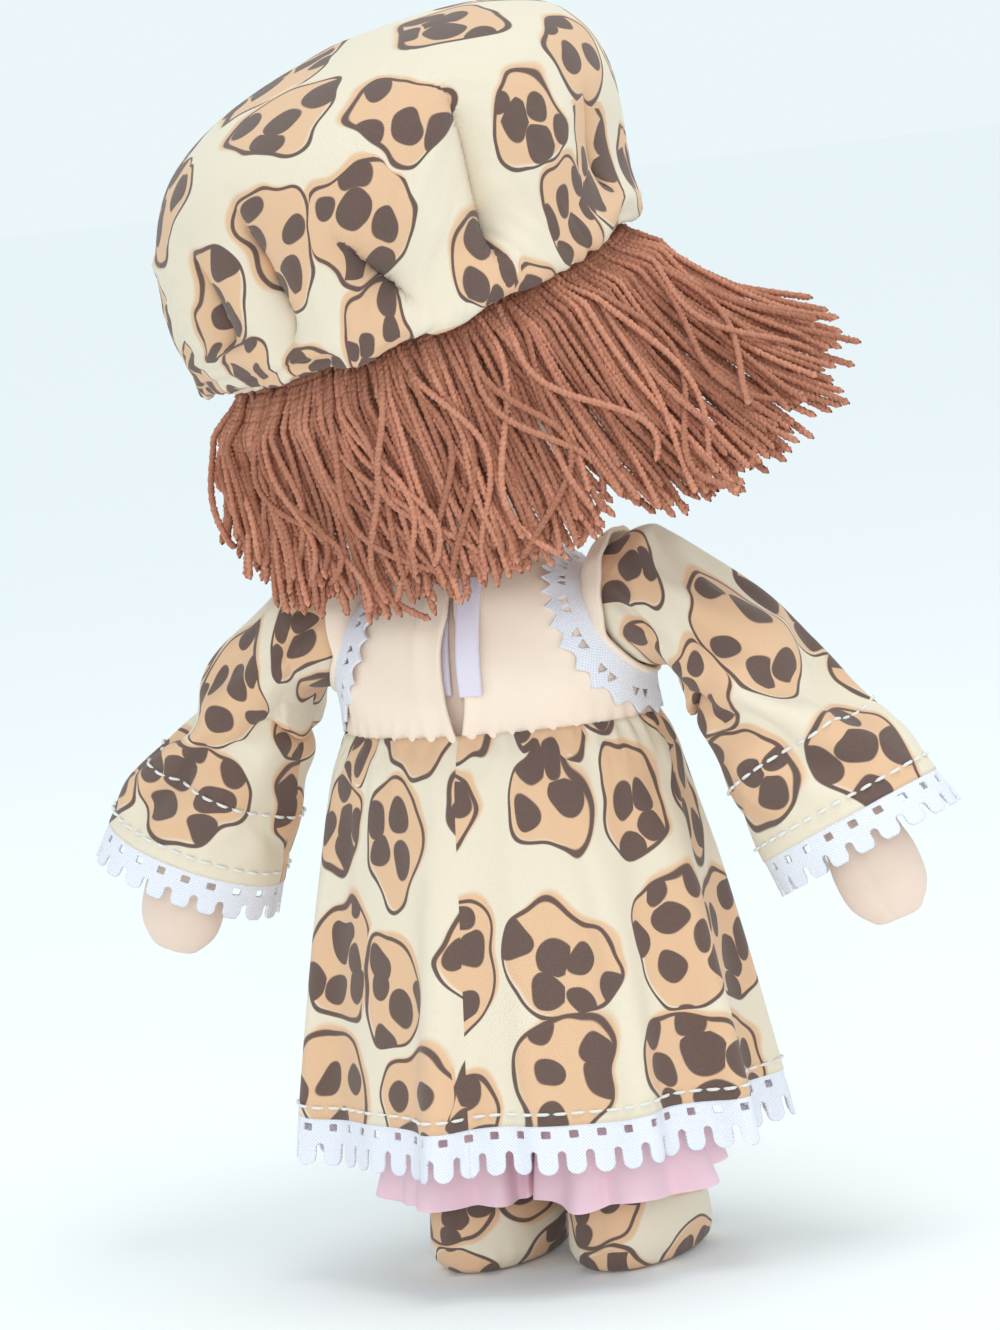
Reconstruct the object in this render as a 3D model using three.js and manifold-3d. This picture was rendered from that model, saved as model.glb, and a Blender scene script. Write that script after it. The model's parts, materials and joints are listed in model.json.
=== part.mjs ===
// Rag doll in a puffed cap, a yarn wig and a lace-trimmed dress, standing on two stuffed boots.
// Millimetres, +Z up. The doll faces -Y, its left hand is on +X, and it stands on z = 0.
import * as THREE from "three";
import { mergeVertices } from "three/addons/utils/BufferGeometryUtils.js";
import Module from "manifold-3d";

const wasm = await Module();
wasm.setup();
const { lerp, degToRad, smoothstep } = THREE.MathUtils;

// Cloth and seams
const CLOTH = 1.2; // skin, dress and boot cloth, with its turnings
const LACE = 0.8; // cotton lace and closure tape
const FIT = 0.3; // gap between pieces that lie against each other
const LOOSE = 1.5; // room between the body and the dress
const BODY_POINTS = 24; // points round the body and the dress
const BAND_POINTS = 40; // points round the cap's band

// Boots and legs
const BOOT_LENGTH = 41;
const BOOT_WIDTH = 25;
const BOOT_HEIGHT = 24;
const HEEL_BACK = 14; // back of the heel behind the middle of the leg
const SOLE_ROUNDING = 2.5;
const LEG_LENGTH = 42; // boot top to hip seam
const LEG_DIAMETER = 20;
const LEG_SPACING = 29; // between the middles of the legs
const SEAM_DIAMETER = 4.8; // rolled hip seam that the legs hang on
const SEAM_CLEARANCE = 0.7; // torso edge above the hip seam

// Torso and neck
const TORSO_HEIGHT = 68; // bottom edge to neck
const TORSO_WIDTH = 56;
const TORSO_DEPTH = 34;
const SHOULDER_WIDTH = 50;
const SHOULDER_DROP = 10; // shoulder joint below the neck
const NECK_DIAMETER = 18;
const NECK_RISE = 3; // middle of the neck's dome above the torso

// Head
const HEAD_WIDTH = 73;
const HEAD_DEPTH = 68;
const HEAD_HEIGHT = 73;
const CHIN_RISE = 1.5; // underside of the head above the dome's middle
const HEAD_TILT = 5; // degrees, towards the doll's left

// Wig and cap, in a frame tipped back and to the doll's left about the middle of the head
const CAP_TIP_BACK = 13; // degrees
const CAP_TIP_LEFT = 9; // degrees
const BAND_HEIGHT = 6;
const BAND_ABOVE_MIDDLE = 9; // lower edge of the band above the middle of the head
const CROWN_PUFF = 3.1; // how far the crown stands out past its gathered edge
const CROWN_RISE = 48.5; // top of the crown above the band's lower edge
const CROWN_GATHERS = 14;
const CROWN_FOLD = 1.4; // depth of a gather
const CROWN_FLOP = 7; // how far the top of the crown leans back to the doll's right
const WIG_TAPE_WIDTH = 8;
const HAIR_ROOT = 3.6; // thickness of the yarn under the band
const HAIR_THICKNESS = 8;
const HAIR_OFF_HEAD = 0.9;
const HAIR_FLARE_LEFT = 12; // how far the ends stand out from the head
const HAIR_FLARE_BACK = 4;
const HAIR_FLARE_RIGHT = 26;
const HAIR_LENGTH_LEFT = 21; // ends below the middle of the head
const HAIR_LENGTH_BACK = 41;
const HAIR_LENGTH_RIGHT = 33;
const FRINGE_LENGTH = 13; // below the band

// Arms and sleeves
const ARM_END = 13; // diameter at the shoulder
const ARM_DIAMETER = 15;
const WRIST_DIAMETER = 12.5;
const PALM_WIDTH = 17;
const PALM_THICKNESS = 11;
const THUMB_DIAMETER = 6;
const TAB_DIAMETER = 8; // unstuffed tab that hinges the arm to the torso
const TAB_LENGTH = 1.6;
const ELBOW_OUT = 24; // elbow from the shoulder joint
const ELBOW_DOWN = 18;
const HAND_OUT = 40; // finger tips from the shoulder joint
const HAND_DOWN = 65;
const SLEEVE_TOP = 27; // sleeve diameter at the shoulder
const SLEEVE_ELBOW = 28;
const SLEEVE_SET_IN = 5.5; // sleeve edge inside the shoulder joint
const SLEEVE_LEAN = 8; // degrees, so that the underarm clears the body as the arm comes down
const SLEEVE_COVER = 0.76; // share of the arm that the sleeve covers
const CUFF_WIDTH = 37;
const CUFF_DEPTH = 29;
const SLEEVE_FOLD = 0.8; // depth of the creases along the sleeve
const CUFF_LACE_WIDTH = 7;

// Dress and bloomers
const WAIST_UP = 35; // waist seam above the torso's bottom edge
const NECKLINE_DROP = 3; // neckline below the neck
const ARMHOLE_EDGE = 5; // armhole edge inside the shoulder joint
const ARMHOLE_LACE_WIDTH = 7.5;
const BACK_SLIT = 2.4; // opening between the back panels
const TAPE_WIDTH = 4.5;
const TAPE_LENGTH = 22;
const SKIRT_LENGTH = 71;
const HEM_WIDTH = 96;
const HEM_DEPTH = 79;
const SKIRT_FOLDS = 9;
const WAIST_FOLD = 0.5; // depth of a gather at the waist
const HEM_FOLD = 2.6; // depth of a fold at the hem
const HEM_LACE_WIDTH = 8.5;
const BLOOMER_ROOM = 1; // room round the leg
const CROTCH_DROP = 7; // below the hip seam
const BLOOMER_TOP_DROP = 8; // top edge below the waist seam
const CUFF_HEIGHT = 31; // lower edge of the bloomers above the floor
const FRILL_LENGTH = 13;
const FRILL_SPREAD = 6; // how far the frill stands out past the bloomers
const FRILL_FOLDS = 7;
const FRILL_FOLD = 1.2; // depth of a frill's wave

// Heights that follow from the sizes
const hipZ = BOOT_HEIGHT + LEG_LENGTH;
const torsoZ = hipZ + SEAM_DIAMETER / 2 + SEAM_CLEARANCE;
const neckZ = torsoZ + TORSO_HEIGHT;
const waistZ = torsoZ + WAIST_UP;
const necklineZ = neckZ - NECKLINE_DROP;
const shoulderZ = neckZ - SHOULDER_DROP;
const nodZ = neckZ + NECK_RISE;
const headRise = CHIN_RISE + HEAD_HEIGHT / 2; // middle of the head above the nod axis
const hemZ = waistZ - FIT - SKIRT_LENGTH;
const legX = LEG_SPACING / 2;

// Materials
const material = (color, roughness = 0.9) => new THREE.MeshStandardMaterial({ color, roughness, metalness: 0 });
const SKIN = material(0xf3d8c8);
const FIBRE = material(0xf7f5f0, 1);
const PRINT = material(0xefe9d2);
const BODICE = material(0xf4e4d4);
const WHITE = material(0xeeeef6);
const PINK = material(0xf9dbe4);
const YARN = material(0xa6715d, 1);

// Mesh building

function volumeOf(corners) {
  let six = 0;
  for (let i = 0; i < corners.length; i += 3)
    six += corners[i].dot(new THREE.Vector3().crossVectors(corners[i + 1], corners[i + 2]));
  return six / 6;
}

// Triangles as a flat list of corners, turned to face out.
function geometryOf(corners) {
  const outward = volumeOf(corners) < 0 ? [...corners].reverse() : corners;
  return new THREE.BufferGeometry().setFromPoints(outward);
}

const middleOf = (ring) => ring.reduce((sum, p) => sum.add(p), new THREE.Vector3()).divideScalar(ring.length);

// Triangles between two rows of points. A round row joins its last point to its first.
function strip(row, next, round) {
  const corners = [];
  const count = round ? row.length : row.length - 1;
  for (let j = 0; j < count; j++) {
    const k = (j + 1) % row.length;
    corners.push(row[j], row[k], next[k], row[j], next[k], next[j]);
  }
  return corners;
}

const skin = (rows, round) => rows.slice(1).flatMap((row, i) => strip(rows[i], row, round));

function fan(ring) {
  const middle = middleOf(ring);
  return ring.flatMap((p, j) => [middle, ring[(j + 1) % ring.length], p]);
}

// A solid filling a stack of rings.
function filled(rings) {
  const top = fan(rings[rings.length - 1]).reverse();
  return geometryOf([...skin(rings, true), ...fan(rings[0]), ...top]);
}

// A round wall between two stacks of rings. An end is open, or shut by drawing both skins to a point.
function wall(outer, inner, { shutFirst = false, shutLast = false } = {}) {
  const last = outer.length - 1;
  const corners = [...skin(outer, true), ...skin(inner, true).reverse()];
  corners.push(...(shutFirst ? [...fan(outer[0]), ...fan(inner[0]).reverse()] : strip(inner[0], outer[0], true)));
  corners.push(
    ...(shutLast
      ? [...fan(outer[last]).reverse(), ...fan(inner[last])]
      : strip(outer[last], inner[last], true)),
  );
  return geometryOf(corners);
}

// A sheet with four edges, between two grids of points.
function sheet(outer, inner) {
  const last = outer.length - 1;
  const side = (grid, pick) => grid.map((row) => row[pick(row)]);
  const first = () => 0;
  const end = (row) => row.length - 1;
  return geometryOf([
    ...skin(outer, false),
    ...skin(inner, false).reverse(),
    ...strip(inner[0], outer[0], false),
    ...strip(outer[last], inner[last], false),
    ...strip(side(outer, first), side(inner, first), false),
    ...strip(side(inner, end), side(outer, end), false),
  ]);
}

// A level oval ring. `wave` pushes each point out by a length that depends on its angle.
function oval(halfWidth, halfDepth, z, { x = 0, y = 0, points = BODY_POINTS, wave = () => 0 } = {}) {
  return Array.from({ length: points }, (_, j) => {
    const angle = (2 * Math.PI * j) / points;
    const out = wave(angle);
    return new THREE.Vector3(x + (halfWidth + out) * Math.cos(angle), y + (halfDepth + out) * Math.sin(angle), z);
  });
}

const steps = (from, to, count) => Array.from({ length: count + 1 }, (_, i) => lerp(from, to, i / count));

// A smooth curve through rows of [place, value, value], read at any place.
function through(rows) {
  const places = rows.map((row) => row[0]);
  const values = rows.flatMap((row) => row.slice(1));
  const curve = new THREE.CubicInterpolant(places, values, rows[0].length - 1, []);
  return (place) => [...curve.evaluate(place)];
}

// Booleans

function solidOf(geometry) {
  const { attributes, index } = mergeVertices(geometry);
  const triVerts = new Uint32Array(index.array);
  return new wasm.Manifold(new wasm.Mesh({ numProp: 3, vertProperties: attributes.position.array, triVerts }));
}

function geometryFrom(solid) {
  const { numProp, numVert, vertProperties, triVerts } = solid.getMesh();
  const points = Array.from({ length: numVert }, (_, i) => vertProperties.subarray(i * numProp, i * numProp + 3));
  const positions = new Float32Array(points.flatMap((p) => [...p]));
  return new THREE.BufferGeometry()
    .setAttribute("position", new THREE.BufferAttribute(positions, 3))
    .setIndex(new THREE.BufferAttribute(triVerts, 1));
}

const ball = (radius, centre, across = 18, down = 12) =>
  solidOf(closed(new THREE.SphereGeometry(radius, across, down)).translate(...centre));

const block = (low, high) => {
  const size = high.map((v, i) => v - low[i]);
  const middle = high.map((v, i) => (v + low[i]) / 2);
  return solidOf(closed(new THREE.BoxGeometry(...size)).translate(...middle));
};

// three.js primitives repeat points along seams and edges: keep only the places.
function closed(geometry) {
  geometry.deleteAttribute("normal");
  geometry.deleteAttribute("uv");
  return mergeVertices(geometry, 1e-4);
}

function piece(group, name, geometry, finish) {
  const mesh = new THREE.Mesh(geometry, finish);
  mesh.name = name;
  group.add(mesh);
  return mesh;
}

function groupAt(parent, x, y, z) {
  const group = new THREE.Group();
  group.position.set(x, y, z);
  parent.add(group);
  return group;
}

const doll = new THREE.Group();
const BESIDE = { left: 1, right: -1 };

// Legs and boots

const SEAM_EDGE = 0.8; // half thickness of the leg where it meets the hip seam
const legTopZ = hipZ - SEAM_DIAMETER / 2 - FIT;
const legRadius = LEG_DIAMETER / 2;
const legSize = through([
  [BOOT_HEIGHT, legRadius, legRadius],
  [lerp(BOOT_HEIGHT, legTopZ, 0.35), legRadius, legRadius],
  [lerp(BOOT_HEIGHT, legTopZ, 0.62), legRadius, 0.92 * legRadius],
  [lerp(BOOT_HEIGHT, legTopZ, 0.84), legRadius, 0.48 * legRadius],
  [legTopZ, legRadius, SEAM_EDGE],
]);

// Level slices of the boot, from the sole to the ankle: height share, then how far it has narrowed to the leg.
const BOOT_SLICES = [
  [0.1, 0],
  [0.34, 0.02],
  [0.56, 0.44],
  [0.78, 0.9],
  [1, 1],
];

function bootRings(inset, points) {
  const slice = (z, narrowed, rounding) => {
    const halfLength = lerp(BOOT_LENGTH / 2, legRadius, narrowed) - rounding - inset;
    const halfWidth = lerp(BOOT_WIDTH / 2, legRadius, narrowed) - rounding - inset;
    const heel = lerp(HEEL_BACK, legRadius, narrowed) - rounding - inset;
    return oval(halfWidth, halfLength, z, { y: heel - halfLength, points });
  };
  const upper = BOOT_SLICES.map(([share, narrowed]) => slice(share * BOOT_HEIGHT, narrowed, 0));
  return [slice(inset, 0, SOLE_ROUNDING), ...upper];
}

function legRings(inset, from, points) {
  return steps(from, legTopZ, 5).map((z) => {
    const [halfWidth, halfDepth] = legSize(z);
    return oval(halfWidth - inset, Math.max(halfDepth - inset, 0.3 * SEAM_EDGE), z, { points });
  });
}

function makeLeg(side) {
  const leg = groupAt(doll, BESIDE[side] * legX, 0, 0);
  leg.scale.x = BESIDE[side];
  const inside = CLOTH + FIT;
  const bootOuter = bootRings(0, 16);
  const bootInner = bootRings(CLOTH, 16);
  bootOuter[bootOuter.length - 1].forEach((p) => (p.z -= FIT / 2));
  bootInner[bootInner.length - 1].forEach((p) => (p.z -= FIT / 2));
  const skinFrom = BOOT_HEIGHT + FIT / 2;
  const legInner = legRings(CLOTH, skinFrom, 16);
  legInner[legInner.length - 1].forEach((p) => (p.z -= CLOTH));
  piece(leg, `boot_${side}`, wall(bootOuter, bootInner, { shutFirst: true }), PRINT);
  piece(leg, `leg_skin_${side}`, wall(legRings(0, skinFrom, 16), legInner, { shutLast: true }), SKIN);
  const stuffing = [...bootRings(inside, 8), ...legRings(inside, skinFrom, 8).slice(1, -1)];
  piece(leg, `leg_stuffing_${side}`, filled(stuffing), FIBRE);

  const wave = (angle) => FRILL_FOLD * Math.cos(FRILL_FOLDS * angle);
  const bloomerRadius = legRadius + BLOOMER_ROOM + CLOTH;
  const frillTop = CUFF_HEIGHT - FIT;
  const frill = (inset) =>
    [0, 0.4, 1].map((share) => {
      const spread = FRILL_SPREAD * Math.sqrt(share);
      const inner = legX - FIT - FRILL_FOLD - LACE; // stops short of the other leg's frill
      const outer = bloomerRadius + spread;
      const halfWidth = (Math.min(outer, inner) + outer) / 2;
      const waves = { x: outer - halfWidth, points: 5 * FRILL_FOLDS, wave: (angle) => share * wave(angle) };
      return oval(halfWidth - inset, outer - inset, frillTop - share * FRILL_LENGTH, waves);
    });
  piece(leg, `bloomer_frill_${side}`, wall(frill(0), frill(LACE)), PINK);
}

// Torso

const torsoSize = through([
  [torsoZ, 0.43 * TORSO_WIDTH, 1.2],
  [lerp(torsoZ, shoulderZ, 0.17), 0.47 * TORSO_WIDTH, 0.25 * TORSO_DEPTH],
  [lerp(torsoZ, shoulderZ, 0.4), 0.5 * TORSO_WIDTH, 0.45 * TORSO_DEPTH],
  [lerp(torsoZ, shoulderZ, 0.68), 0.5 * TORSO_WIDTH, 0.5 * TORSO_DEPTH],
  [shoulderZ, SHOULDER_WIDTH / 2, 0.42 * TORSO_DEPTH],
  [lerp(shoulderZ, neckZ, 0.6), lerp(SHOULDER_WIDTH / 2, NECK_DIAMETER / 2, 0.55), 0.34 * TORSO_DEPTH],
  [neckZ, NECK_DIAMETER / 2, NECK_DIAMETER / 2],
]);

// The arm's tab lies against the torso at its own lower edge, where the torso is widest.
const tabRoot = torsoSize(shoulderZ - TAB_DIAMETER / 2)[0] + FIT;
const shoulderX = tabRoot + TAB_LENGTH + FIT + ARM_END / 2;

function torsoRing(z, offset, points = BODY_POINTS, wave = () => 0) {
  const [halfWidth, halfDepth] = torsoSize(z);
  return oval(halfWidth + offset, Math.max(halfDepth + offset, 0.3), z, { points, wave });
}

function makeTorso() {
  const below = [0, 0.12, 0.28, 0.5, 0.76, 1].map((share) => lerp(torsoZ, shoulderZ - TAB_DIAMETER / 2, share));
  const heights = [...below, ...steps(shoulderZ, neckZ, 3)];
  const outer = heights.map((z) => torsoRing(z, 0));
  const inner = heights.map((z) => torsoRing(z, -CLOTH));
  inner[0].forEach((p) => (p.z += 2 * CLOTH));
  piece(doll, "torso_skin", wall(outer, inner, { shutFirst: true }), SKIN);
  const stuffing = heights.slice(1).map((z) => torsoRing(z, -CLOTH - FIT, BODY_POINTS / 2));
  piece(doll, "torso_stuffing", filled(stuffing), FIBRE);

  const seamLength = 0.86 * TORSO_WIDTH;
  const seam = new THREE.CylinderGeometry(SEAM_DIAMETER / 2, SEAM_DIAMETER / 2, seamLength, 12);
  piece(doll, "hip_seam", closed(seam.rotateZ(Math.PI / 2)), SKIN).position.z = hipZ;
}

// Dress

const armholeRadius = SLEEVE_TOP / 2 + 2 * FIT;
const shoulderPoint = (side) => [BESIDE[side] * shoulderX, 0, shoulderZ];
const FAR = 500; // beyond every piece

// A layer of cloth over the torso, from one height to another.
function overTorso(from, to, offset, thickness) {
  const heights = steps(from, to, 6);
  const rings = (extra) => heights.map((z) => torsoRing(z, offset + extra));
  return solidOf(wall(rings(thickness), rings(0)));
}

// The bodice cups the head of each sleeve, so that the arm turns in its armhole.
function armholeCup(side) {
  const at = shoulderPoint(side);
  const edge = shoulderX - ARMHOLE_EDGE;
  const inside = BESIDE[side] > 0 ? block([0, -FAR, 0], [edge, FAR, FAR]) : block([-edge, -FAR, 0], [0, FAR, FAR]);
  const cup = ball(armholeRadius + CLOTH, at).subtract(ball(armholeRadius, at));
  const within = steps(waistZ, necklineZ, 6).map((z) => torsoRing(z, LOOSE));
  return cup.intersect(inside).subtract(solidOf(filled(within)));
}

function makeBodice() {
  let body = overTorso(waistZ, necklineZ, LOOSE, CLOTH);
  for (const side of Object.keys(BESIDE))
    body = body.subtract(ball(armholeRadius, shoulderPoint(side))).add(armholeCup(side));
  const panels = {
    bodice_front: block([-FAR, -FAR, 0], [FAR, -FIT / 2, FAR]),
    bodice_back_left: block([BACK_SLIT / 2, FIT / 2, 0], [FAR, FAR, FAR]),
    bodice_back_right: block([-FAR, FIT / 2, 0], [-BACK_SLIT / 2, FAR, FAR]),
  };
  for (const [name, part] of Object.entries(panels)) piece(doll, name, geometryFrom(body.intersect(part)), BODICE);

  for (const side of Object.keys(BESIDE)) {
    const at = shoulderPoint(side);
    const layer = overTorso(waistZ, necklineZ, LOOSE + CLOTH + FIT, LACE);
    const cup = armholeRadius + CLOTH;
    const frill = layer.intersect(ball(cup + ARMHOLE_LACE_WIDTH, at)).subtract(ball(cup + FIT, at));
    piece(doll, `armhole_lace_${side}`, geometryFrom(frill), WHITE);
  }
  makeClosure("closure_hook_tape", BACK_SLIT / 2 + FIT, LOOSE / 2 - LACE / 2);
  makeClosure("closure_loop_tape", -BACK_SLIT / 2 - FIT - TAPE_WIDTH, LOOSE + CLOTH + FIT);
}

// A strip of touch-fastening tape beside the back slit, standing off the torso by `offset`.
function makeClosure(name, fromX, offset) {
  const onBack = (x, z, out) => {
    const [halfWidth, halfDepth] = torsoSize(z);
    const share = x / (halfWidth + out);
    return new THREE.Vector3(x, (halfDepth + out) * Math.sqrt(1 - share * share), z);
  };
  const top = necklineZ - FIT;
  const grid = (out) =>
    steps(top - TAPE_LENGTH, top, 5).map((z) => steps(fromX, fromX + TAPE_WIDTH, 3).map((x) => onBack(x, z, out)));
  piece(doll, name, sheet(grid(offset + LACE), grid(offset)), WHITE);
}

// Folds deepen from the gathered waist to the hem.
function skirtRing(share, offset) {
  const z = waistZ - FIT - share * SKIRT_LENGTH;
  const [waistWidth, waistDepth] = torsoSize(waistZ);
  const eased = Math.pow(share, 0.75);
  const fold = lerp(WAIST_FOLD, HEM_FOLD, eased);
  const wave = (angle) => fold * Math.cos(SKIRT_FOLDS * angle + 0.8 * Math.sin(2 * angle));
  const width = lerp(waistWidth + LOOSE, HEM_WIDTH / 2 - HEM_FOLD - CLOTH, eased);
  const depth = lerp(waistDepth + LOOSE, HEM_DEPTH / 2 - HEM_FOLD - CLOTH, eased);
  return oval(width + offset, depth + offset, z, { points: 6 * SKIRT_FOLDS, wave });
}

function makeSkirt() {
  const shares = [0, 0.1, 0.24, 0.48, 0.74, 1];
  const skirt = (offset) => shares.map((share) => skirtRing(share, offset));
  piece(doll, "skirt", wall(skirt(CLOTH), skirt(0)), PRINT);
  const hem = skirtRing(1, (CLOTH - LACE) / 2);
  const lace = (offset) => [FIT, HEM_LACE_WIDTH].map((drop) => ringFrom(hem, offset, hemZ - drop));
  piece(doll, "hem_lace", wall(lace(LACE), lace(0)), WHITE);
}

// A copy of a ring at another height, each point moved outwards.
function ringFrom(ring, out, z) {
  return ring.map((p) => {
    const outward = new THREE.Vector3(p.x, p.y, 0).normalize().multiplyScalar(out);
    return new THREE.Vector3(p.x, p.y, 0).add(outward).setZ(z);
  });
}

// Bloomers: a seat over the torso's lower end, joined to two straight legs.
function makeBloomers() {
  const crotchZ = hipZ - CROTCH_DROP;
  const topZ = waistZ - BLOOMER_TOP_DROP;
  const seat = (inset, over) => {
    const seatRing = (z, lift) => {
      const [halfWidth, halfDepth] = torsoSize(Math.max(z, torsoZ));
      const width = Math.max(halfWidth + LOOSE, legX + legRadius + BLOOMER_ROOM) + CLOTH - inset;
      const depth = Math.max(halfDepth + LOOSE, legRadius + BLOOMER_ROOM) + CLOTH - inset;
      return oval(width, depth, z + lift);
    };
    const rings = steps(torsoZ, topZ, 4).map((z, i) => seatRing(z, i === 4 ? over : 0));
    return solidOf(filled([seatRing(crotchZ, inset), ...rings]));
  };
  const trouser = (side, inset, over) => {
    const radius = legRadius + BLOOMER_ROOM + CLOTH - inset;
    const low = CUFF_HEIGHT - over;
    const tube = closed(new THREE.CylinderGeometry(radius, radius, hipZ - low, 16).rotateX(Math.PI / 2));
    return solidOf(tube.translate(BESIDE[side] * legX, 0, (hipZ + low) / 2));
  };
  const whole = (inset, over) =>
    seat(inset, over).add(trouser("left", inset, over)).add(trouser("right", inset, over));
  piece(doll, "bloomers", geometryFrom(whole(0, 0).subtract(whole(CLOTH, 2))), PINK);
}

// Arms and sleeves, drawn for the left side about the shoulder joint and mirrored for the right

const armPath = new THREE.QuadraticBezierCurve3(
  new THREE.Vector3(0, 0, 0),
  new THREE.Vector3(ELBOW_OUT, 0, -ELBOW_DOWN),
  new THREE.Vector3(HAND_OUT, 0, -HAND_DOWN),
);
const FRONT = new THREE.Vector3(0, 1, 0);

// A ring across the arm: `across` is the radius in the plane of the bend and `deep` from front to back.
function armRing(centre, along, across, deep, points, wave = () => 0) {
  const side = new THREE.Vector3().crossVectors(FRONT, along).normalize();
  return Array.from({ length: points }, (_, j) => {
    const angle = (2 * Math.PI * j) / points;
    const out = wave(angle);
    return centre
      .clone()
      .addScaledVector(side, (across + out) * Math.cos(angle))
      .addScaledVector(FRONT, (deep + out) * Math.sin(angle));
  });
}

// Share along the arm, then its radius in the plane of the bend and from front to back.
const armSize = through([
  [0, ARM_END / 2, ARM_END / 2],
  [0.3, ARM_DIAMETER / 2, ARM_DIAMETER / 2],
  [0.72, WRIST_DIAMETER / 2, WRIST_DIAMETER / 2],
  [0.88, PALM_WIDTH / 2, PALM_THICKNESS / 2],
  [0.97, 0.36 * PALM_WIDTH, 0.3 * PALM_THICKNESS],
]);

function armRings(inset, points) {
  const start = armPath.getTangent(0);
  const end = ARM_END / 2;
  // The shoulder end is round about the joint, with the stuffing hole left open in it.
  const round = [0.9, 0.6].map((back) => {
    const radius = Math.sqrt(1 - back * back) * (end - inset);
    return armRing(start.clone().multiplyScalar(-back * (end - inset)), start, radius, radius, points);
  });
  const limb = [0, 0.16, 0.34, 0.54, 0.72, 0.82, 0.9, 0.97].map((share) => {
    const [across, deep] = armSize(share);
    return armRing(armPath.getPoint(share), armPath.getTangent(share), across - inset, deep - inset, points);
  });
  return [...round, ...limb];
}

// The sleeve's head is round about the shoulder joint, set in the armhole, and opens towards the body.
function sleeveHead(offset, points) {
  const lean = degToRad(SLEEVE_LEAN);
  const square = new THREE.Vector3(Math.cos(lean), 0, Math.sin(lean));
  const radius = SLEEVE_TOP / 2 - CLOTH + offset;
  return [SLEEVE_SET_IN, SLEEVE_SET_IN / 2].map((back) => {
    const across = Math.sqrt(radius * radius - back * back);
    return armRing(square.clone().multiplyScalar(-back), square, across, across, points);
  });
}

// Below its head the sleeve turns to follow the arm and widens to the cuff.
function sleeveRing(share, offset, points) {
  const lean = degToRad(SLEEVE_LEAN);
  const square = new THREE.Vector3(Math.cos(lean), 0, Math.sin(lean));
  const at = SLEEVE_COVER * share;
  const along = square.lerp(armPath.getTangent(at), smoothstep(share, 0, 0.5)).normalize();
  const top = lerp(SLEEVE_TOP, SLEEVE_ELBOW, smoothstep(share, 0, 0.5));
  const across = lerp(top, CUFF_WIDTH, smoothstep(share, 0.45, 1));
  const deep = lerp(top, CUFF_DEPTH, smoothstep(share, 0.45, 1));
  const crease = (angle) => SLEEVE_FOLD * Math.sin(Math.PI * share) * Math.cos(5 * angle + 6 * share);
  return armRing(armPath.getPoint(at), along, across / 2 - CLOTH + offset, deep / 2 - CLOTH + offset, points, crease);
}

function makeArm(side) {
  const arm = groupAt(doll, BESIDE[side] * shoulderX, 0, shoulderZ);
  arm.scale.x = BESIDE[side];
  const thumbAt = armPath.getPoint(0.86).addScaledVector(FRONT, -0.62 * PALM_THICKNESS);
  const thumb = ball(THUMB_DIAMETER / 2, thumbAt.toArray(), 10, 6);
  const hand = solidOf(wall(armRings(0, 14), armRings(CLOTH, 14), { shutLast: true }));
  const hollow = solidOf(filled(armRings(CLOTH, 14)));
  piece(arm, `arm_skin_${side}`, geometryFrom(hand.add(thumb.subtract(hollow))), SKIN);
  piece(arm, `arm_stuffing_${side}`, filled(armRings(CLOTH + FIT, 7)), FIBRE);

  const shares = [0, 0.2, 0.36, 0.52, 0.68, 0.84, 1];
  const sleeve = (offset) => [...sleeveHead(offset, 20), ...shares.map((share) => sleeveRing(share, offset, 20))];
  piece(arm, `sleeve_${side}`, wall(sleeve(CLOTH), sleeve(0)), PRINT);
  const cuff = (offset) =>
    [FIT, CUFF_LACE_WIDTH].map((drop) => sleeveRing(1 + drop / (SLEEVE_COVER * armPath.getLength()), offset, 20));
  const lift = (CLOTH - LACE) / 2;
  piece(arm, `cuff_lace_${side}`, wall(cuff(lift + LACE), cuff(lift)), WHITE);

  const tab = new THREE.CylinderGeometry(TAB_DIAMETER / 2, TAB_DIAMETER / 2, TAB_LENGTH, 16);
  const tabX = -ARM_END / 2 - FIT - TAB_LENGTH / 2;
  piece(arm, `shoulder_tab_${side}`, closed(tab.rotateZ(Math.PI / 2)), SKIN).position.x = tabX;
}

// Head and neck

function makeNeck() {
  const radius = NECK_DIAMETER / 2;
  const base = FIT - NECK_RISE; // flat underside, measured from the dome's middle
  const from = Math.asin(base / radius);
  const arc = steps(from, Math.PI / 2, 6).map((a) => new THREE.Vector2(radius * Math.cos(a), radius * Math.sin(a)));
  const outline = [new THREE.Vector2(0, base), ...arc.slice(0, -1), new THREE.Vector2(0, radius)];
  piece(doll, "neck", closed(new THREE.LatheGeometry(outline, 20).rotateX(Math.PI / 2)), SKIN).position.z = nodZ;
}

const headHalf = [HEAD_WIDTH / 2, HEAD_DEPTH / 2, HEAD_HEIGHT / 2];

function headSolid(inset, across, down) {
  const [x, y, z] = headHalf.map((half) => half - inset);
  const globe = closed(new THREE.SphereGeometry(1, across, down).rotateX(Math.PI / 2).scale(x, y, z));
  return solidOf(globe.translate(0, 0, headRise));
}

function makeHead(head) {
  const socket = ball(NECK_DIAMETER / 2 + FIT, [0, 0, 0], 20, 12);
  const shell = headSolid(0, 20, 10).subtract(headSolid(CLOTH, 20, 10)).subtract(socket);
  piece(head, "head_skin", geometryFrom(shell), SKIN);
  piece(head, "head_stuffing", geometryFrom(headSolid(CLOTH + FIT, 10, 10).subtract(socket)), FIBRE);
}

// Wig and cap, in their own tipped frame

const wigTurn = new THREE.Euler(-degToRad(CAP_TIP_BACK), degToRad(CAP_TIP_LEFT), 0);
const bandInner = Math.max(HEAD_WIDTH, HEAD_DEPTH) / 2 + HAIR_OFF_HEAD + HAIR_ROOT;

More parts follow.
